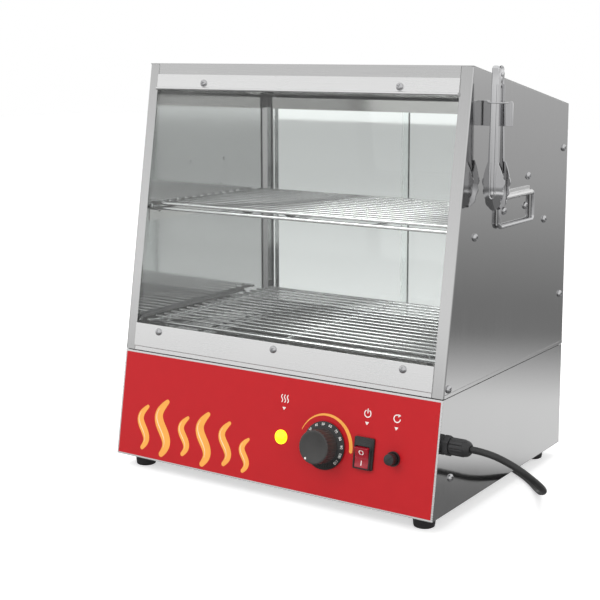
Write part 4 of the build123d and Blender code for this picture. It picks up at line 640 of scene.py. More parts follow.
# ---------------------------------------------------------------- printed panel
def ribbon(bm, line, widths, out=0.05, thick=0.05):
    """Flat printed stroke along a line of (x, y), with round ends."""
    count = len(line)
    left, right = [], []
    for i, (x, y) in enumerate(line):
        before, after = line[max(i - 1, 0)], line[min(i + 1, count - 1)]
        dx, dy = after[0] - before[0], after[1] - before[1]
        length = math.hypot(dx, dy) or 1.0
        nx, ny = -dy / length, dx / length
        half = widths[i] / 2
        left.append((x + nx * half, y + ny * half))
        right.append((x - nx * half, y - ny * half))
    cap_end, cap_start = [], []
    for points, (x, y), half, start in (
        (cap_end, line[-1], widths[-1] / 2, left[-1]),
        (cap_start, line[0], widths[0] / 2, right[0]),
    ):
        base = math.atan2(start[1] - y, start[0] - x)
        for k in range(1, 8):
            angle = base - pi * k / 8
            points.append((x + half * cos(angle), y + half * sin(angle)))
    outline = left + cap_end + right[::-1] + cap_start
    part = bmesh.new()
    low = [part.verts.new((x, y, out - thick)) for x, y in outline]
    high = [part.verts.new((x, y, out)) for x, y in outline]
    n = len(left)
    top_left, top_right = high[:n], high[n + 7 : n + 7 + n][::-1]
    for a, b, c, d in zip(top_left, top_left[1:], top_right, top_right[1:]):
        part.faces.new((a, c, d, b))
    part.faces.new([top_left[-1], *high[n : n + 7], top_right[-1]])
    part.faces.new([top_right[0], *high[n + 7 + n :], top_left[0]])
    total = len(outline)
    for i in range(total):
        after = (i + 1) % total
        part.faces.new((low[i], low[after], high[after], high[i]))
    join(bm, part)


def flat_ring(bm, inner, outer, start, end, out=0.05, steps=48, taper=None):
    """Part of a flat ring; taper(t) scales its width."""
    line, widths = [], []
    middle = (inner + outer) / 2
    for k in range(steps + 1):
        t = k / steps
        angle = radians(start + (end - start) * t)
        line.append((middle * cos(angle), middle * sin(angle)))
        widths.append((outer - inner) * (taper(t) if taper else 1.0))
    ribbon(bm, line, widths, out)


class STEAMER_OT_panel_print(bpy.types.Operator):
    """Plain print of the control panel: steam strokes, dial arc and small signs"""

    bl_idname = "steamer.panel_print"
    bl_label = "Panel print"

    def execute(self, context):
        strokes = bmesh.new()
        lights = bmesh.new()
        plan = [
            (-168, 12, 46, 9.5, 7.0),
            (-141, 9, 58, 12.5, 8.5),
            (-111, 14, 40, 9.0, 6.5),
            (-84, 8, 54, 12.0, 8.0),
            (-55, 13, 44, 9.5, 7.0),
            (-29, 10, 34, 8.0, 5.5),
        ]
        for x, low, height, width, sway in plan:
            line, widths, shine, shine_widths = [], [], [], []
            for k in range(33):
                t = k / 32
                px = x + sway * sin(t * tau * 0.92 + 0.5) + 7.0 * t
                py = low + height * t
                w = width * (0.34 + 0.66 * sin(pi * min(max(t * 0.92 + 0.06, 0), 1)) ** 0.8)
                line.append((px, py))
                widths.append(w)
                if 4 <= k <= 27:
                    shine.append((px - w * 0.27, py + w * 0.06))
                    shine_widths.append(max(w * 0.10, 0.5) * (0.35 + 0.65 * sin(pi * (k - 4) / 23)))
            ribbon(strokes, line, widths, 0.04)
            ribbon(lights, shine, shine_widths, 0.07)
        piece(strokes, "steam_strokes", "print_orange", "steamer", FRONT)
        piece(lights, "steam_highlights", "print_pale", "steamer", FRONT)

        arc = bmesh.new()
        inner, outer, start, end = 29.2, 33.0, 157, -2
        flat_ring(arc, inner, outer, start, end, 0.04, 64, lambda t: 0.14 + 0.86 * min(t * 1.3, 1.0))
        piece(arc, "dial_arc", "print_orange", "steamer", on_front(KNOB_X, CONTROL_ROW))

        signs = bmesh.new()
        lamp_x, sign_up, arrow_top, arrow_tip = 19.4, 93.0, 84.6, 81.4
        for x in (lamp_x, SWITCH_X, RESET_X):
            add_prism(signs, [(x - 2.2, arrow_top), (x, arrow_tip), (x + 2.2, arrow_top)], 0, 0.05)
        for k in (-1, 0, 1):
            line = [(lamp_x + k * 3.6 + 0.9 * sin(tau * t / 12), 89.5 + 7.5 * t / 12) for t in range(13)]
            ribbon(signs, line, [1.0] * 13, 0.05)
        ring = bmesh.new()
        flat_ring(ring, 3.1, 4.1, 125, 415, 0.05, 40)
        join(signs, ring, Matrix.Translation((SWITCH_X, sign_up, 0)))
        ribbon(signs, [(SWITCH_X, 93.6), (SWITCH_X, 95.5), (SWITCH_X, 97.6)], [1.0] * 3, 0.05)
        ring = bmesh.new()
        flat_ring(ring, 3.1, 4.1, 60, 350, 0.05, 40)
        add_prism(ring, [(1.0, 4.6), (1.2, 1.4), (4.2, 3.6)], 0, 0.05)
        join(signs, ring, Matrix.Translation((RESET_X, sign_up, 0)))
        piece(signs, "panel_signs", "print_white", "steamer", FRONT)
        return {"FINISHED"}


# ---------------------------------------------------------------- controls
class STEAMER_OT_knob(bpy.types.Operator):
    """Thermostat knob: flat skirt with numbers, fluted cap"""

    bl_idname = "steamer.knob"
    bl_label = "Thermostat knob"

    def execute(self, context):
        place = on_front(KNOB_X, CONTROL_ROW)
        skirt = bmesh.new()
        profile = [(0, 1.0), (23.9, 1.0), (24.5, 1.5), (24.5, 2.0), (24.1, 2.4), (18.6, 4.1), (17.9, 4.4),
            (0, 4.4)]
        add_lathe(skirt, profile, 96)
        piece(skirt, "knob_skirt", "black_satin", "knob", place, ("thermostat_knob",))

        cap = bmesh.new()
        body = [(17.6, 4.3), (17.7, 5.0), (17.5, 6.0), (17.4, 12.0), (17.3, 20.4), (17.1, 20.9),
            (16.7, 21.2), (15.9, 21.4)]
        body += [(14.4, 21.35), (13.9, 21.1), (0, 21.0)]

        def flute(angle, index):
            if not 2 <= index <= 5:
                return 1.0
            return 1.0 - 0.030 * (0.5 + 0.5 * cos(angle * 30)) ** 2

        add_lathe(cap, body, 240, ripple=flute)
        piece(cap, "knob_cap_fluted", "knob_cap", "knob", place)

        marks = bmesh.new()
        dot = bmesh.new()
        add_lathe(dot, [(0, 0), (1.15, 0), (1.15, 0.14), (0.95, 0.2), (0, 0.2)], 24)
        angle = radians(236)
        join(marks, dot, Matrix.Translation((14.9 * cos(angle), 14.9 * sin(angle), 21.25)))
        for k in range(25):
            angle = 140 - k * 7.5
            length = 2.2 if k % 3 == 0 else 1.3
            add_box(
                marks, (17.9, 17.9 + length), (-0.18, 0.18), (-0.02, 0.06),
                place=turn(angle) @ Matrix.Translation((0, 0, 4.05)) @ turn(16, "Y"),
            )
        add_box(
            marks, (18.2, 23.4), (-0.4, 0.4), (-0.02, 0.06),
            place=turn(-96) @ Matrix.Translation((0, 0, 4.02)) @ turn(16, "Y"),
        )
        numbers = [str(10 * (k + 3)) for k in range(9)]
        height = context.scene.steamer_sizes.numerals
        for k, text in enumerate(numbers):
            angle = 140 - k * 22.5
            curve = bpy.data.curves.new("number", "FONT")
            curve.body = text
            curve.size = height * 1.25
            curve.align_x, curve.align_y = "CENTER", "CENTER"
            curve.resolution_u = 3
            holder = bpy.data.objects.new("number", curve)
            bpy.context.scene.collection.objects.link(holder)
            graph = bpy.context.evaluated_depsgraph_get()
            shape = bpy.data.meshes.new_from_object(holder.evaluated_get(graph))
            part = bmesh.new()
            part.from_mesh(shape)
            bpy.data.objects.remove(holder)
            bpy.data.meshes.remove(shape)
            tilt = (
                turn(angle)
                @ Matrix.Translation((21.7, 0, 3.24))
                @ turn(16, "Y")
                @ turn(-90)
            )
            join(marks, part, tilt)
        piece(marks, "knob_numbers", "print_white", "knob", place, weld=False)
        return {"FINISHED"}


class STEAMER_OT_switches(bpy.types.Operator):
    """Signal lamp, rocker switch and reset cap"""

    bl_idname = "steamer.switches"
    bl_label = "Lamp, rocker and reset"

    def execute(self, context):
        lamp = bmesh.new()
        dome = [(0, 1.0), (6.2, 1.0)]
        radius = (6.2**2 + 3.4**2) / (2 * 3.4)
        for k in range(1, 11):
            r = 6.2 * cos(pi / 2 * k / 10)
            dome.append((max(r, 0.0) if k < 10 else 0.0, 1.0 + 3.4 - radius + math.sqrt(radius**2 - r**2)))
        add_lathe(lamp, dome, 48)
        piece(lamp, "lamp_dome", "lamp_lit", "steamer", on_front(LAMP_X, CONTROL_ROW),
            ("indicator_lamp_lens",))

        bezel = bmesh.new()
        drop = 3.6
        levels = [
            (22.6, 32.0, 1.6, 0.0, 0.0),
            (22.6, 32.0, 1.6, 0.0, 1.9),
            (21.7, 31.1, 1.3, 0.0, 2.4),
            (20.4, 30.4, 1.2, -0.4, 2.5),
            (18.6, 24.0, 1.0, -drop, 4.9),
            (18.2, 23.6, 0.9, -drop, 5.0),
            (16.4, 21.8, 0.6, -drop, 4.9),
            (16.2, 21.6, 0.5, -drop, 4.4),
            (16.2, 21.6, 0.5, -drop, -8.0),
        ]
        rings = []
        for width, height, corner, middle, z in levels:
            outline = rounded_outline(width, height, corner, 4, (0, middle))
            rings.append([bezel.verts.new((x, y, z)) for x, y in outline])
        add_skin(bezel, rings)
        bezel.faces.new(rings[-1])
        add_box(bezel, (-9.3, 9.3), (-15.0, 13.0), (-22.0, -8.1), 0.5)
        for y in (5.0, -7.0):
            add_box(bezel, (-3.15, 3.15), (y - 0.4, y + 0.4), (-29.0, -22.0), 0.1)
        place = on_front(SWITCH_X, CONTROL_ROW)
        piece(bezel, "rocker_bezel", "black_satin", "steamer", place, ("rocker_switch_housing",))

        tilt = radians(10)
        place = on_front(SWITCH_X, CONTROL_ROW - drop, 2.2) @ Matrix.Rotation(tilt, 4, "X")
        half, rise, face = 10.5, 10.5 * math.tan(tilt), 2.6
        rocker = bmesh.new()
        outline = [(-half, -2.0), (-half + 0.3, face + rise - 0.4)]
        for k in range(13):
            t = -1 + 2 * k / 12
            outline.append(((half - 0.7) * t, face + rise * t * t))
        outline += [(half - 0.3, face + rise - 0.4), (half, -2.0), (3.0, -6.0), (-3.0, -6.0)]
        part = bmesh.new()
        add_prism(part, outline, -7.8, 7.8, 0.35, 2)
        join(rocker, part, Matrix(((0, 0, 1, 0), (1, 0, 0, 0), (0, 1, 0, 0), (0, 0, 0, 1))))
        piece(rocker, "rocker_key", "rocker_red", "rocker", place, ("rocker_switch_actuator",))
        marks = bmesh.new()
        reach = 5.4
        lift = face + rise * (reach / (half - 0.7)) ** 2 + 0.06
        slope = math.atan(2 * rise * reach / (half - 0.7) ** 2)
        ring = bmesh.new()
        flat_ring(ring, 1.9, 2.8, 0, 359.9, 0.05, 32)
        join(marks, ring, Matrix.Translation((0, reach, lift)) @ Matrix.Rotation(slope, 4, "X"))
        bar = bmesh.new()
        add_box(bar, (-0.5, 0.5), (-2.6, 2.6), (-0.02, 0.06))
        join(marks, bar, Matrix.Translation((0, -reach, lift)) @ Matrix.Rotation(-slope, 4, "X"))
        piece(marks, "rocker_marks", "print_white", "rocker", place)

        place = on_front(RESET_X, CONTROL_ROW)
        ring = bmesh.new()
        add_lathe(ring, [(4.3, 0), (7.1, 0), (7.4, 0.3), (7.4, 1.5), (6.9, 2.0), (4.3, 2.0), (4.3, 0)], 48)
        piece(ring, "reset_ring", "black_satin", "steamer", place)
        cap = bmesh.new()
        body = [(4.4, 2.35), (5.3, 2.35), (5.7, 2.7), (5.7, 9.6), (5.4, 10.2), (4.7, 10.5), (0, 10.5)]

        def knurl(angle, index):
            return 1.0 - (0.045 * (0.5 + 0.5 * cos(angle * 20)) if index in (2, 3) else 0.0)

        part = bmesh.new()
        add_lathe(part, body, 120, ripple=knurl)
        join(cap, part)
        piece(cap, "reset_cap_body", "black_moulded", "reset_cap", place, ("reset_cap",))
        slot = bmesh.new()
        add_box(slot, (-5.1, 5.1), (-0.75, 0.75), (10.46, 10.58), place=turn(40))
        piece(slot, "reset_cap_slot", "seal_rubber", "reset_cap", place)
        return {"FINISHED"}


# ---------------------------------------------------------------- racks
class STEAMER_OT_racks(bpy.types.Operator):
    """Both wire racks"""

    bl_idname = "steamer.racks"
    bl_label = "Wire racks"

    def execute(self, context):
        thin = context.scene.steamer_sizes.rack_wire / 2

        def across(bm, x, y, z, radius):
            cap = radius * 0.6
            stops = (-x, -x + 0.15, -x + cap, x - cap, x - 0.15, x)
            rounded = (0.25, 0.72, 1, 1, 0.72, 0.25)
            add_tube(bm, [(stop, y, z) for stop in stops], [radius * part for part in rounded], 12)

        def deck(bm, half_x, front, back, z):
            count = int((back - front) / 14.0)
            pitch = (back - front) / count
            for index in range(1, count):
                across(bm, half_x, front + index * pitch, z, thin)

        buns = bmesh.new()
        z = BUN_SHELF + 2.0
        half, front, back = WALL - 1.0 - 4.0 - 2.0, 62.0, 280.0
        outline = rounded_outline(2 * half, back - front, 8.0, 6, (0, (front + back) / 2))
        add_tube(buns, [(x, y, z) for x, y in outline], 2.0, 16, closed=True)
        for x in (-half / 2, 0, half / 2):
            add_tube(buns, [(x, front, z), (x, back, z)], 2.0, 16)
        deck(buns, half, front, back, z + 2.9)
        rise = z + 5.8
        corners = [(-half, front, z), (-half, front, rise), (half, front, rise), (half, front, z)]
        rail = bent_wire(corners, 4.0)
        add_tube(buns, rail, thin + 0.3, 14)
        piece(buns, "bun_rack_wires", "wire_plated", "bun_rack", HERE, ("bun_rack",),
            weld=False)

        dogs = bmesh.new()
        z = DOG_RACK
        front, back, half = 44.0, 282.0, 187.0
        for y in (front, back):
            across(dogs, half, y, z, 2.0)
        runner = z - 0.6
        for x in (-180.0, 0, 180.0):
            add_tube(dogs, [(x, front, runner), (x, back, runner)], 2.0, 16)
        for x in (-180.0, 180.0):
            near, far, under = front + 24, back - 10, runner - 3.2
            corners = [(x, near, DECK), (x, near, under), (x, far, under), (x, far, DECK)]
            leg = bent_wire(corners, 7.0)
            add_tube(dogs, leg, 2.0, 14)
        deck(dogs, half, front, back, runner + 2.9)
        piece(dogs, "hot_dog_rack_wires", "wire_plated", "hot_dog_rack", HERE, ("hot_dog_rack",),
            weld=False)
        return {"FINISHED"}


# ---------------------------------------------------------------- handles
class STEAMER_OT_handles(bpy.types.Operator):
    """Bail handles and their rolled brackets"""

    bl_idname = "steamer.handles"
    bl_label = "Bail handles"

    def execute(self, context):
        rod, sheet, middle = 2.1, 0.8, 170.4
        out = sheet + 0.05 + rod
        for side, word in ((1, "right"), (-1, "left")):
            loop = bmesh.new()
            outline = rounded_outline(82.0, 29.4, 4.2, 8)
            x = side * (WALL + out)
            points = [(x, middle + a, BAIL_TOP - 14.7 + b) for a, b in outline]
            add_tube(loop, points, rod, 20, closed=True)
            piece(loop, f"bail_{word}", "tongs_steel", f"bail_{word}", HERE, (f"handle_bail_{word}",))
            strap = bmesh.new()
            inner, outer, steps = rod + 0.05, rod + 0.05 + sheet, 24
            shape = [(0, 6.6), (2 * sheet, 6.6), (2 * sheet, 2.7)]
            for k in range(steps + 1):
                angle = radians(114 - 284 * k / steps)
                shape.append((out + outer * cos(angle), outer * sin(angle)))
            for k in range(steps + 1):
                angle = radians(-170 + 345 * k / steps)
                shape.append((out + inner * cos(angle), inner * sin(angle)))
            shape.append((0, 0.2))
            part = bmesh.new()
            add_prism(part, shape, -36.0, 36.0, 0.15, 1)
            join(strap, part, Matrix(((0, 0, 1, 0), (0, 1, 0, 0), (1, 0, 0, 0), (0, 0, 0, 1))))
            place = on_wall(side, middle, BAIL_TOP)
            node = f"handle_bracket_{word}"
            # The straps take the front steel, whose raised colour is painted light.
            piece(strap, f"bail_strap_{word}", "front_steel", "steamer", place, (node,),
                soft=40)
        return {"FINISHED"}


# ---------------------------------------------------------------- tongs
PIVOT_Z = HOLDER_TOP + 25.1
TIP_Z = PIVOT_Z - 131.4
TONGS_OUT, TONGS_Y = 16.8, 91.6
TOP_SPREAD, NECK_SPREAD, NECK_UP = 7.4, 9.8, 42.4
HEAD_LENGTH = 47.4
EAR_TOP, ARM_DEPTH, ARM_SHEET = 8.6, 4.4, 0.8


def tongs_place(side):
    """Local x to the right, z up, y away from the tongs' middle plane; +1 is the rear arm."""
    return HERE @ shift(WALL + TONGS_OUT, TONGS_Y, 0) @ Matrix.Diagonal((1, side, 1, 1))


def arm_face(z):
    """How far the arm's outer face stands from the middle plane."""
    share = min(max((PIVOT_Z - z) / (PIVOT_Z - TIP_Z - NECK_UP), 0.0), 1.0)
    return TOP_SPREAD + (NECK_SPREAD - TOP_SPREAD) * share


def head_face(up):
    """The same on the head, `up` above its tip: flat at the neck, then dished towards the tip."""
    crown = NECK_SPREAD + 0.6
    low = HEAD_LENGTH / 2
    if up > low:
        return crown + (NECK_SPREAD - crown) * (up - low) / (HEAD_LENGTH - low)
    return crown - (62.0 - math.sqrt(62.0**2 - (low - up) ** 2))


def arm_shape(bm, narrower):
    """Folded channel from the rounded top down to the neck."""
    top, end = PIVOT_Z + EAR_TOP, TIP_Z + 36.0
    corner = 2.8
    heights = [top - corner * (1 - cos(radians(90 * k / 6))) for k in range(7)]
    heights += [top - corner + (end - top + corner) * k / 24 for k in range(1, 25)]
    rings = []
    for z in heights:
        share = min(max((PIVOT_Z - z) / (PIVOT_Z - TIP_Z - NECK_UP), 0.0), 1.0)
        half = 3.9 + 1.5 * share - narrower / 2
        above = z - (top - corner)
        if above > 0:
            half -= corner - math.sqrt(max(corner**2 - above**2, 0.0))
        half = max(half, 0.6)
        depth = 1.8 if z > PIVOT_Z else ARM_DEPTH
        if z < TIP_Z + 50:
            depth = max(1.4, ARM_DEPTH - (TIP_Z + 50 - z) * 0.22)
        face = arm_face(z)
        r = min(1.3, half * 0.8, depth * 0.7)
        q = max(r - ARM_SHEET, 0.1)
        wall = min(ARM_SHEET, half * 0.5)
        outline = [(-half, face - depth)]
        for k in range(6):
            angle = radians(180 - 90 * k / 5)
            outline.append((-half + r + r * cos(angle), face - r + r * sin(angle)))
        for k in range(6):
            angle = radians(90 - 90 * k / 5)
            outline.append((half - r + r * cos(angle), face - r + r * sin(angle)))
        outline.append((half, face - depth))
        outline.append((half - wall, face - depth))
        for k in range(6):
            angle = radians(90 * k / 5)
            outline.append((half - wall - q + q * cos(angle), face - wall - q + q * sin(angle)))
        for k in range(6):
            angle = radians(90 + 90 * k / 5)
            outline.append((-half + wall + q + q * cos(angle), face - wall - q + q * sin(angle)))
        outline.append((-half + wall, face - depth))
        rings.append([bm.verts.new((x, y, z)) for x, y in outline])
    add_skin(bm, rings)
    bm.faces.new(rings[0])
    bm.faces.new(rings[-1][::-1])


def ear_shape(bm, narrower):
    """Two cheeks round the pin."""
    face, radius = TOP_SPREAD - 0.6, 5.4
    outline = [(face, EAR_TOP - 2.6), (face - 1.2, EAR_TOP - 2.2), (3.6, 6.2)]
    for k in range(15):
        angle = radians(70 + 160 * k / 14)
        outline.append((radius * cos(angle), radius * sin(angle)))
    outline += [(face - ARM_DEPTH + 0.8, -13.0), (face, -13.0)]
    half = 3.9 - narrower / 2
    for x in (-half, half - ARM_SHEET):
        part = bmesh.new()
        add_prism(part, [(y, PIVOT_Z + z) for y, z in outline], 0, ARM_SHEET, 0.15, 1)
        join(bm, part, Matrix(((0, 0, 1, x), (1, 0, 0, 0), (0, 1, 0, 0), (0, 0, 0, 1))))


def leaf_half(up):
    """Half width of the head `up` above its tip: a leaf with three lobes on each edge."""
    outline = [(0.0, 0.0), (0.6, 2.4), (2.6, 4.4), (7.0, 6.9), (12.0, 8.6), (24.0, 10.4), (34.0, 10.4),
        (40.0, 8.4), (47.4, 5.4)]
    half = 5.4
    for (low, a), (high, b) in zip(outline, outline[1:]):
        if low <= up <= high:
            t = (up - low) / (high - low)
            half = a + (b - a) * t
            break
    for middle, x in ((28.0, 6.9), (18.3, 5.7), (8.6, 2.9)):
        if abs(up - middle) < 5.4:
            half = max(half, x + math.sqrt(5.4**2 - (up - middle) ** 2))
    return half


def head_shape(bm):
    """Dished head with lobed edges: a grid along its length and across, and the same moved inward."""
    rows, columns, thick = 96, 20, 1.0

    def surface(row, column, inset):
        up = HEAD_LENGTH * (1 - row / rows) + (0.15 if row == rows else 0.0)
        x = leaf_half(up) * (-1 + 2 * column / columns)
        dish = 21.5 - math.sqrt(21.5**2 - x * x)
        return (x * (1 - inset * 0.02), head_face(up) - dish - inset, TIP_Z + up)

    grids = []
    for inset in (0.0, thick):
        lines = range(rows + 1)
        grids.append([[bm.verts.new(surface(r, c, inset)) for c in range(columns + 1)] for r in lines])
    for index, grid in enumerate(grids):
        for r in range(rows):
            for c in range(columns):
                face = (grid[r][c], grid[r][c + 1], grid[r + 1][c + 1], grid[r + 1][c])
                bm.faces.new(face if index == 0 else face[::-1])
    top, low = grids
    rim = (
        [(0, c) for c in range(columns)]
        + [(r, columns) for r in range(rows)]
        + [(rows, c) for c in range(columns, 0, -1)]
        + [(r, 0) for r in range(rows, 0, -1)]
    )
    for i, (r, c) in enumerate(rim):
        r2, c2 = rim[(i + 1) % len(rim)]
        bm.faces.new((top[r][c], low[r][c], low[r2][c2], top[r2][c2]))


def rib_line():
    """The embossed U: down the arm's face, round on the head, and up again."""
    side, bend, steps = 2.7, TIP_Z + 14.7, 22

    def face(z):
        return (head_face(z - TIP_Z) if z < TIP_Z + NECK_UP else arm_face(z)) - 0.55

    down = [PIVOT_Z - 9.2 - (PIVOT_Z - 9.2 - bend) * k / steps for k in range(steps + 1)]
    line = [(-side, face(z), z) for z in down]
    for k in range(1, 8):
        angle = pi + pi * k / 8
        z = bend + side * sin(angle)
        line.append((side * cos(angle), face(z), z))
    return line + [(side, face(z), z) for z in reversed(down)]


class STEAMER_OT_tongs(bpy.types.Operator):
    """Tongs with their pin, lock ring and wall holder"""

    bl_idname = "steamer.tongs"
    bl_label = "Tongs and holder"

    def execute(self, context):
        for side, body, node, narrower in ((-1, "tongs", "tongs_front_arm", 0.0),
            (1, "tongs_rear", "tongs_rear_arm", 2.4)):
            bm = bmesh.new()
            arm_shape(bm, narrower)
            ear_shape(bm, narrower)
            head_shape(bm)
            add_tube(bm, rib_line(), 1.15, 12)
            piece(bm, f"{node}_sheet", "tongs_steel", body, tongs_place(side), (node,),
                soft=50, weld=False)
        pin = bmesh.new()
        profile = [(0, -4.5), (1.6, -4.5), (2.1, -4.3), (2.1, -4.0), (1.5, -3.9), (1.5, 3.9), (2.1, 4.0),
            (2.1, 4.3), (1.6, 4.5), (0, 4.5)]
        add_lathe(pin, profile, 24)
        place = HERE @ shift(WALL + TONGS_OUT, TONGS_Y, PIVOT_Z) @ turn(90, "Y")
        piece(pin, "tongs_rivet", "tongs_steel", "tongs", place, ("tongs_pin",))
        ring = bmesh.new()
        outline = rounded_outline(16.0, 21.7, 6.0, 8)
        add_tube(ring, [(x, y, 0) for x, y in outline], 0.6, 12, closed=True)
        place = HERE @ shift(WALL + TONGS_OUT, TONGS_Y, HOLDER_TOP - 2.6 + 0.95)
        piece(ring, "lock_wire", "tongs_steel", "lock_ring", place, ("tongs_lock_ring",))

        holder = bmesh.new()
        bottom, top = HOLDER_TOP - 24.3, HOLDER_TOP
        end, sheet = 32.3, 1.2
        bend = 2.0
        plan = []
        for k in range(7):
            angle = radians(180 + 90 * k / 6)
            plan.append((bend + bend * cos(angle), bend - 0.6 + bend * sin(angle)))
        back = []
        for k in range(7):
            angle = radians(270 - 90 * k / 6)
            back.append((bend + (bend - sheet) * cos(angle), bend - 0.6 + (bend - sheet) * sin(angle)))
        outline = [(0.0, 14.6)] + plan + [(5.0, -0.6)]
        inner = [(5.0, 0.6)] + back + [(sheet, 14.6)]
        add_prism(holder, outline + inner, bottom, top, 0.12, 1, Matrix.Identity(4))
        plate = [(4.9, bottom), (end, bottom), (end, top - 2.6), (end - 0.4, top - 1.2),
            (end - 1.4, top - 0.3), (end - 2.6, top)]
        plate += [(end - 3.4, top - 0.2), (end - 4.2, top - 0.9), (end - 5.4, top - 2.45),
            (end - 6.0, top - 2.6), (7.4, top - 2.6), (6.6, top - 2.3), (5.4, top - 0.3), (4.9, top)]
        part = bmesh.new()
        add_prism(part, plate, -0.6, 0.6, 0.12, 1)
        join(holder, part, Matrix(((1, 0, 0, 0), (0, 0, -1, 0), (0, 1, 0, 0), (0, 0, 0, 1))))
        place = HERE @ shift(WALL, 92.6, 0)
        piece(holder, "tongs_hook", "tongs_steel", "steamer", place, ("tongs_holder",),
            soft=30)
        return {"FINISHED"}


# ---------------------------------------------------------------- gland, cord and plug
GLAND = (200.0, 25.0, FOOT_TOP + 71.0)
CORD = 6.8
COIL_MIDDLE, COIL_OUTER, COIL_PITCH = (64.0, 378.0), 46.0, 7.4
ROUTE = [
    (228.0, 25.0, 86.0),
    (246.0, 25.0, 86.0),
    (272.3, 28.3, 76.3),
    (286.4, 41.4, 61.0),
    (288.5, 61.1, 46.3),
    (270.5, 98.8, 30.4),
    (254.7, 135.1, 17.5),
    (238.5, 167.9, CORD / 2),
    (210.6, 201.2, CORD / 2),
    (172.0, 231.0, CORD / 2),
    (141.0, 263.0, CORD / 2),
    (119.0, 300.0, CORD / 2),
    (110.0, 338.0, CORD / 2),
    (110.0, 371.2, CORD / 2),
]


def coil_turns():
    """Control points of the wound length: two turns in on the counter, two out on top."""
    points = []
    per_degree = COIL_PITCH / 360
    for k in range(0, 69):
        angle = k * 22.5
        radius = COIL_OUTER - per_degree * (angle if angle < 810 else 1620 - angle)
        climbed = min(max((angle - 720) / 180, 0.0), 1.0)
        turned = radians(angle)
        points.append(
            (
                COIL_MIDDLE[0] + radius * 1.012 * cos(turned),
                COIL_MIDDLE[1] + radius * 1.012 * sin(turned),
                CORD / 2 + climbed * COIL_PITCH,
            )
        )
    return points


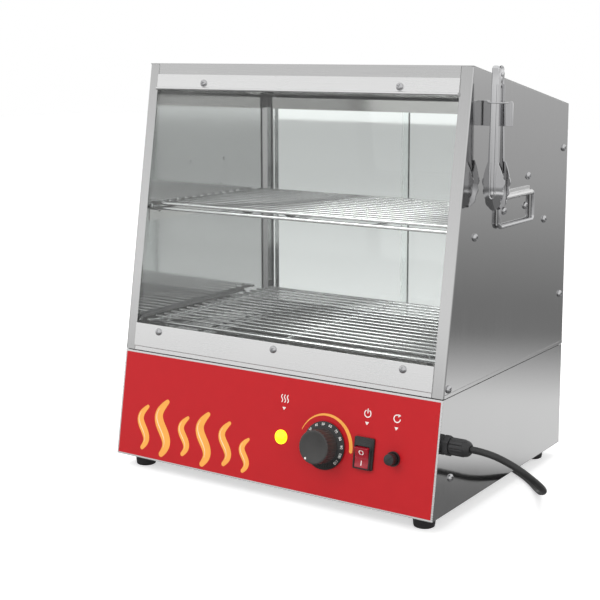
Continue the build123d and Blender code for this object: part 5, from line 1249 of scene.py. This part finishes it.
class STEAMER_OT_cord(bpy.types.Operator):
    """Cable gland, mains cord with its coil, and plug"""

    bl_idname = "steamer.cord"
    bl_label = "Cord and plug"

    def execute(self, context):
        east = HERE @ shift(*GLAND) @ turn(90, "Y")
        body = bmesh.new()
        hexagon = [(10.4 * cos(tau * k / 6), 10.4 * sin(tau * k / 6)) for k in range(6)]
        part = bmesh.new()
        add_prism(part, hexagon, 0.6, 7.0, 0.5, 2)
        join(body, part)
        add_lathe(body, [(0, 0), (9.4, 0), (9.4, 0.7), (0, 0.7)], 48)
        add_lathe(body, [(0, -10), (7.2, -10), (7.2, 0), (0, 0)], 32)
        part = bmesh.new()
        add_prism(part, hexagon, -5.0, -1.0, 0.4, 1)
        join(body, part)
        add_lathe(body, [(0, 7.0), (7.9, 7.0), (7.9, 8.0), (0, 8.0)], 48)
        piece(body, "gland_hexagon", "black_moulded", "steamer", east, ("cord_gland_body",),
            weld=False)

        nut = bmesh.new()
        profile = [(0, 0.4), (8.1, 0.4), (8.6, 1.0), (8.6, 7.5), (8.6, 13.8), (8.3, 14.9), (8.0, 15.2),
            (8.05, 16.0)]
        profile += [(7.6, 17.8), (6.7, 19.4), (5.4, 20.7), (4.9, 21.0), (4.1, 21.0), (3.5, 20.4), (0, 20.2)]

        def ribs(angle, index):
            if index not in (2, 3, 4):
                return 1.0
            return 1.0 - 0.075 * max(0.0, cos(angle * 12)) ** 6

        add_lathe(nut, profile, 144, ripple=ribs)
        piece(nut, "gland_cap", "black_moulded", "steamer", east @ shift(0, 0, 7.0), ("cord_gland_nut",))

        coil = coil_turns()
        tail = Vector((-1, 0, 0))
        end = Vector((COIL_MIDDLE[0], COIL_MIDDLE[1] + COIL_OUTER - COIL_PITCH / 4, CORD / 2 + COIL_PITCH))
        points = [Vector(p) for p in ROUTE] + [Vector(p) for p in coil] + [end + tail * 15, end + tail * 31]
        curve = bpy.data.curves.new("mains_cord", "CURVE")
        curve.dimensions = "3D"
        curve.bevel_depth = CORD / 2 * MM
        curve.bevel_resolution = 5
        curve.resolution_u = 6
        curve.use_fill_caps = True
        spline = curve.splines.new("NURBS")
        spline.points.add(len(points) - 1)
        for slot, point in zip(spline.points, points):
            slot.co = (*(ORIGIN + point * MM), 1.0)
        spline.order_u = 3
        spline.use_endpoint_u = True
        cord = bpy.data.objects.new("mains_cord", curve)
        curve.materials.append(FINISHES["cord_jacket"])
        bpy.context.scene.collection.objects.link(cord)
        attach(cord, "steamer")
        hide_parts("power_cord", "power_cord_coil")

        plug = bmesh.new()
        rings = []
        sections = [
            (0.0, 5.2, 5.2, 5.0),
            (3.0, 5.6, 5.6, 5.2),
            (6.0, 5.3, 5.3, 5.0),
            (9.0, 6.2, 6.0, 5.0),
            (13.0, 7.6, 7.0, 5.0),
            (18.0, 10.2, 8.6, 6.0),
            (22.0, 11.6, 10.0, 6.5),
            (26.0, 12.6, 10.7, 7.0),
            (32.8, 13.0, 10.8, 7.0),
            (34.0, 12.4, 10.2, 6.5),
        ]
        for z, half_x, half_y, corner in sections:
            outline = rounded_outline(2 * half_x, 2 * half_y, min(corner, half_x - 0.05, half_y - 0.05), 6)
            rings.append([plug.verts.new((x, y, z)) for x, y in outline])
        add_skin(plug, rings)
        plug.faces.new(rings[0][::-1])
        plug.faces.new(rings[-1])
        for k in range(5):
            add_box(plug, (-11.0 + k * 0.2, 11.0 - k * 0.2), (10.0, 10.5), (21.5 + k * 2.1, 22.5 + k * 2.1),
                0.15, 1)
        start = end + tail * 30
        place = HERE @ shift(*start) @ Matrix(((0, 0, -1, 0), (1, 0, 0, 0), (0, -1, 0, 0), (0, 0, 0, 1)))
        moulding = piece(plug, "plug_moulding", "black_moulded", "steamer", place, ("mains_plug",),
            weld=False)
        blades = bmesh.new()
        for x in (-6.35, 6.35):
            add_box(blades, (x - 0.75, x + 0.75), (-3.15 + 3.0, 3.15 + 3.0), (33.5, 51.0), 0.35, 2)
        add_lathe(blades, [(0, 33.5), (2.4, 33.5), (2.4, 48.5), (2.0, 50.2), (1.0, 51.0), (0, 51.0)], 24,
            Matrix.Translation((0, -5.2, 0)))
        pins = piece(blades, "plug_blades", "brass_nickel", "steamer", place)
        return {"FINISHED"}


# ---------------------------------------------------------------- small cabinet details
class STEAMER_OT_cabinet(bpy.types.Operator):
    """Folded lips and edges of the cabinet"""

    bl_idname = "steamer.cabinet"
    bl_label = "Cabinet edges"

    def execute(self, context):
        seam = FOOT_TOP + 117.5 * cos(LEAN)
        for side, word in ((1, "right"), (-1, "left")):
            bm = bmesh.new()
            y0 = (seam + 1.0 - FOOT_TOP) * math.tan(LEAN) + 1.6
            add_box(bm, (0, 0.35), (y0, 309.6), (seam + 1.0, seam + 4.6), 0.15, 1)
            place = HERE @ shift(side * WALL, 0, 0) @ Matrix.Diagonal((side, 1, 1, 1))
            piece(bm, f"side_lip_{word}", "side_steel", "steamer", place)
        return {"FINISHED"}


# ---------------------------------------------------------------- stage
def stage_material(name, colour, shine=0.0):
    material = bpy.data.materials.new(name)
    material.use_nodes = True
    shader = material.node_tree.nodes["Principled BSDF"]
    shader.inputs["Base Color"].default_value = colour
    shader.inputs["Roughness"].default_value = 0.6
    shader.inputs["Specular IOR Level"].default_value = 0.2
    return material


def area_light(name, location, target, size, power, spread=None):
    data = bpy.data.lights.new(name, "AREA")
    data.shape = "RECTANGLE"
    data.size, data.size_y = size
    data.energy = power
    if spread:
        data.spread = radians(spread)
    made = bpy.data.objects.new(name, data)
    bpy.context.scene.collection.objects.link(made)
    made.location = location
    made.rotation_mode = "QUATERNION"
    made.rotation_quaternion = (Vector(target) - Vector(location)).to_track_quat("-Z", "Y")
    made.visible_glossy = False
    made.visible_camera = False
    return made


class STEAMER_OT_stage(bpy.types.Operator):
    """Floor, lights, surroundings and camera"""

    bl_idname = "steamer.stage"
    bl_label = "Stage"

    def execute(self, context):
        scene = context.scene
        scene.view_settings.view_transform = "Standard"

        size = 6.0
        mesh = bpy.data.meshes.new("floor")
        mesh.from_pydata([(-size, -size, 0), (size, -size, 0), (size, size, 0), (-size, size, 0)], [],
            [(0, 1, 2, 3)])
        floor = bpy.data.objects.new("floor", mesh)
        scene.collection.objects.link(floor)
        material = stage_material("floor_white", (0.80, 0.80, 0.80, 1))
        tree = material.node_tree
        shader = tree.nodes["Principled BSDF"]
        path = tree.nodes.new("ShaderNodeLightPath")
        glow = tree.nodes.new("ShaderNodeEmission")
        glow.inputs["Color"].default_value = (1, 1, 1, 1)
        seen = tree.nodes.new("ShaderNodeMath")
        seen.operation = "MULTIPLY"
        seen.inputs[1].default_value = 0.55
        tree.links.new(path.outputs["Is Camera Ray"], seen.inputs[0])
        tree.links.new(seen.outputs[0], glow.inputs["Strength"])
        both = tree.nodes.new("ShaderNodeAddShader")
        tree.links.new(shader.outputs[0], both.inputs[0])
        tree.links.new(glow.outputs[0], both.inputs[1])
        tree.links.new(both.outputs[0], tree.nodes["Material Output"].inputs["Surface"])
        mesh.materials.append(material)
        floor.visible_glossy = False

        world = bpy.data.worlds.new("studio")
        scene.world = world
        world.use_nodes = True
        tree = world.node_tree
        tree.nodes.clear()
        out = tree.nodes.new("ShaderNodeOutputWorld")
        path = tree.nodes.new("ShaderNodeLightPath")
        where = tree.nodes.new("ShaderNodeTexCoord")
        parts = tree.nodes.new("ShaderNodeSeparateXYZ")
        tree.links.new(where.outputs["Generated"], parts.inputs[0])
        height = tree.nodes.new("ShaderNodeMapRange")
        height.inputs["From Min"].default_value = -0.5
        height.inputs["From Max"].default_value = 0.5
        tree.links.new(parts.outputs["Z"], height.inputs["Value"])
        ramp = tree.nodes.new("ShaderNodeValToRGB")
        stops = [
            (-0.50, 0.20),
            (-0.318, 0.20),
            (-0.306, 0.95),
            (-0.262, 1.00),
            (-0.235, 0.55),
            (-0.215, 0.25),
            (-0.19, 0.26),
            (-0.15, 0.36),
            (-0.10, 0.52),
            (-0.03, 0.62),
            (0.08, 1.10),
            (0.14, 1.05),
            (0.30, 0.80),
            (0.50, 0.90),
        ]
        elements = ramp.color_ramp.elements
        while len(elements) > 1:
            elements.remove(elements[-1])
        for index, (z, value) in enumerate(stops):
            element = elements[0] if index == 0 else elements.new(z + 0.5)
            element.position = z + 0.5
            element.color = (value, value, value, 1)
        tree.links.new(height.outputs["Result"], ramp.inputs["Fac"])
        mirror_sky = tree.nodes.new("ShaderNodeBackground")
        tree.links.new(ramp.outputs["Color"], mirror_sky.inputs["Color"])
        mirror_sky.inputs["Strength"].default_value = 1.0
        plain = tree.nodes.new("ShaderNodeBackground")
        plain.inputs["Color"].default_value = (1, 1, 1, 1)
        plain.inputs["Strength"].default_value = 0.55
        white = tree.nodes.new("ShaderNodeBackground")
        white.inputs["Color"].default_value = (1, 1, 1, 1)
        white.inputs["Strength"].default_value = 1.0
        first = tree.nodes.new("ShaderNodeMixShader")
        tree.links.new(path.outputs["Is Glossy Ray"], first.inputs["Fac"])
        tree.links.new(plain.outputs[0], first.inputs[1])
        tree.links.new(mirror_sky.outputs[0], first.inputs[2])
        either = tree.nodes.new("ShaderNodeMath")
        either.operation = "MAXIMUM"
        tree.links.new(path.outputs["Is Camera Ray"], either.inputs[0])
        tree.links.new(path.outputs["Is Transmission Ray"], either.inputs[1])
        last = tree.nodes.new("ShaderNodeMixShader")
        tree.links.new(either.outputs[0], last.inputs["Fac"])
        tree.links.new(first.outputs[0], last.inputs[1])
        tree.links.new(white.outputs[0], last.inputs[2])
        tree.links.new(last.outputs[0], out.inputs["Surface"])

        target = ORIGIN + Vector((0, 0.15, 0.2))
        area_light("key", ORIGIN + Vector((-0.9, -1.6, 1.7)), target, (1.4, 1.4), 26)
        area_light("fill", ORIGIN + Vector((1.6, -1.1, 1.0)), target, (1.2, 1.2), 10)
        area_light("top", ORIGIN + Vector((0.0, 0.3, 2.0)), target, (1.6, 1.6), 18)

        azimuth, elevation = radians(33.205), radians(8.614)
        back = Vector((sin(azimuth) * cos(elevation), -cos(azimuth) * cos(elevation), sin(elevation)))
        data = bpy.data.cameras.new("camera")
        data.sensor_width = 36.0
        data.lens = 77.44
        data.shift_x, data.shift_y = -0.02575, -0.09087
        camera = bpy.data.objects.new("camera", data)
        scene.collection.objects.link(camera)
        camera.location = ORIGIN + Vector((754.39, -1050.38, 462.98)) * MM
        camera.rotation_mode = "QUATERNION"
        camera.rotation_quaternion = (-back).to_track_quat("-Z", "Y")
        scene.camera = camera
        return {"FINISHED"}


class STEAMER_PT_sidebar(bpy.types.Panel):
    """Lists the steamer's steps"""

    bl_idname = "STEAMER_PT_sidebar"
    bl_label = "Steamer"
    bl_space_type = "VIEW_3D"
    bl_region_type = "UI"
    bl_category = "Steamer"

    def draw(self, context):
        column = self.layout.column(align=True)
        for group in (context.scene.steamer_colours, context.scene.steamer_sizes):
            for key in group.bl_rna.properties.keys():
                if key not in ("rna_type", "name"):
                    column.prop(group, key)
        for operator in OPERATORS:
            column.operator(operator.bl_idname)


OPERATORS = (
    STEAMER_OT_finishes,
    STEAMER_OT_cord,
    STEAMER_OT_fixings,
    STEAMER_OT_cabinet,
    STEAMER_OT_panel_print,
    STEAMER_OT_knob,
    STEAMER_OT_switches,
    STEAMER_OT_racks,
    STEAMER_OT_handles,
    STEAMER_OT_tongs,
    STEAMER_OT_stage,
)
CLASSES = (SteamerColours, SteamerSizes) + OPERATORS + (STEAMER_PT_sidebar,)


def register():
    for item in CLASSES:
        bpy.utils.register_class(item)
    bpy.types.Scene.steamer_colours = bpy.props.PointerProperty(type=SteamerColours)
    bpy.types.Scene.steamer_sizes = bpy.props.PointerProperty(type=SteamerSizes)


def unregister():
    del bpy.types.Scene.steamer_sizes
    del bpy.types.Scene.steamer_colours
    for item in reversed(CLASSES):
        bpy.utils.unregister_class(item)


def main():
    register()
    for operator in OPERATORS:
        group, name = operator.bl_idname.split(".")
        getattr(getattr(bpy.ops, group), name)()


if __name__ == "__main__":
    main()
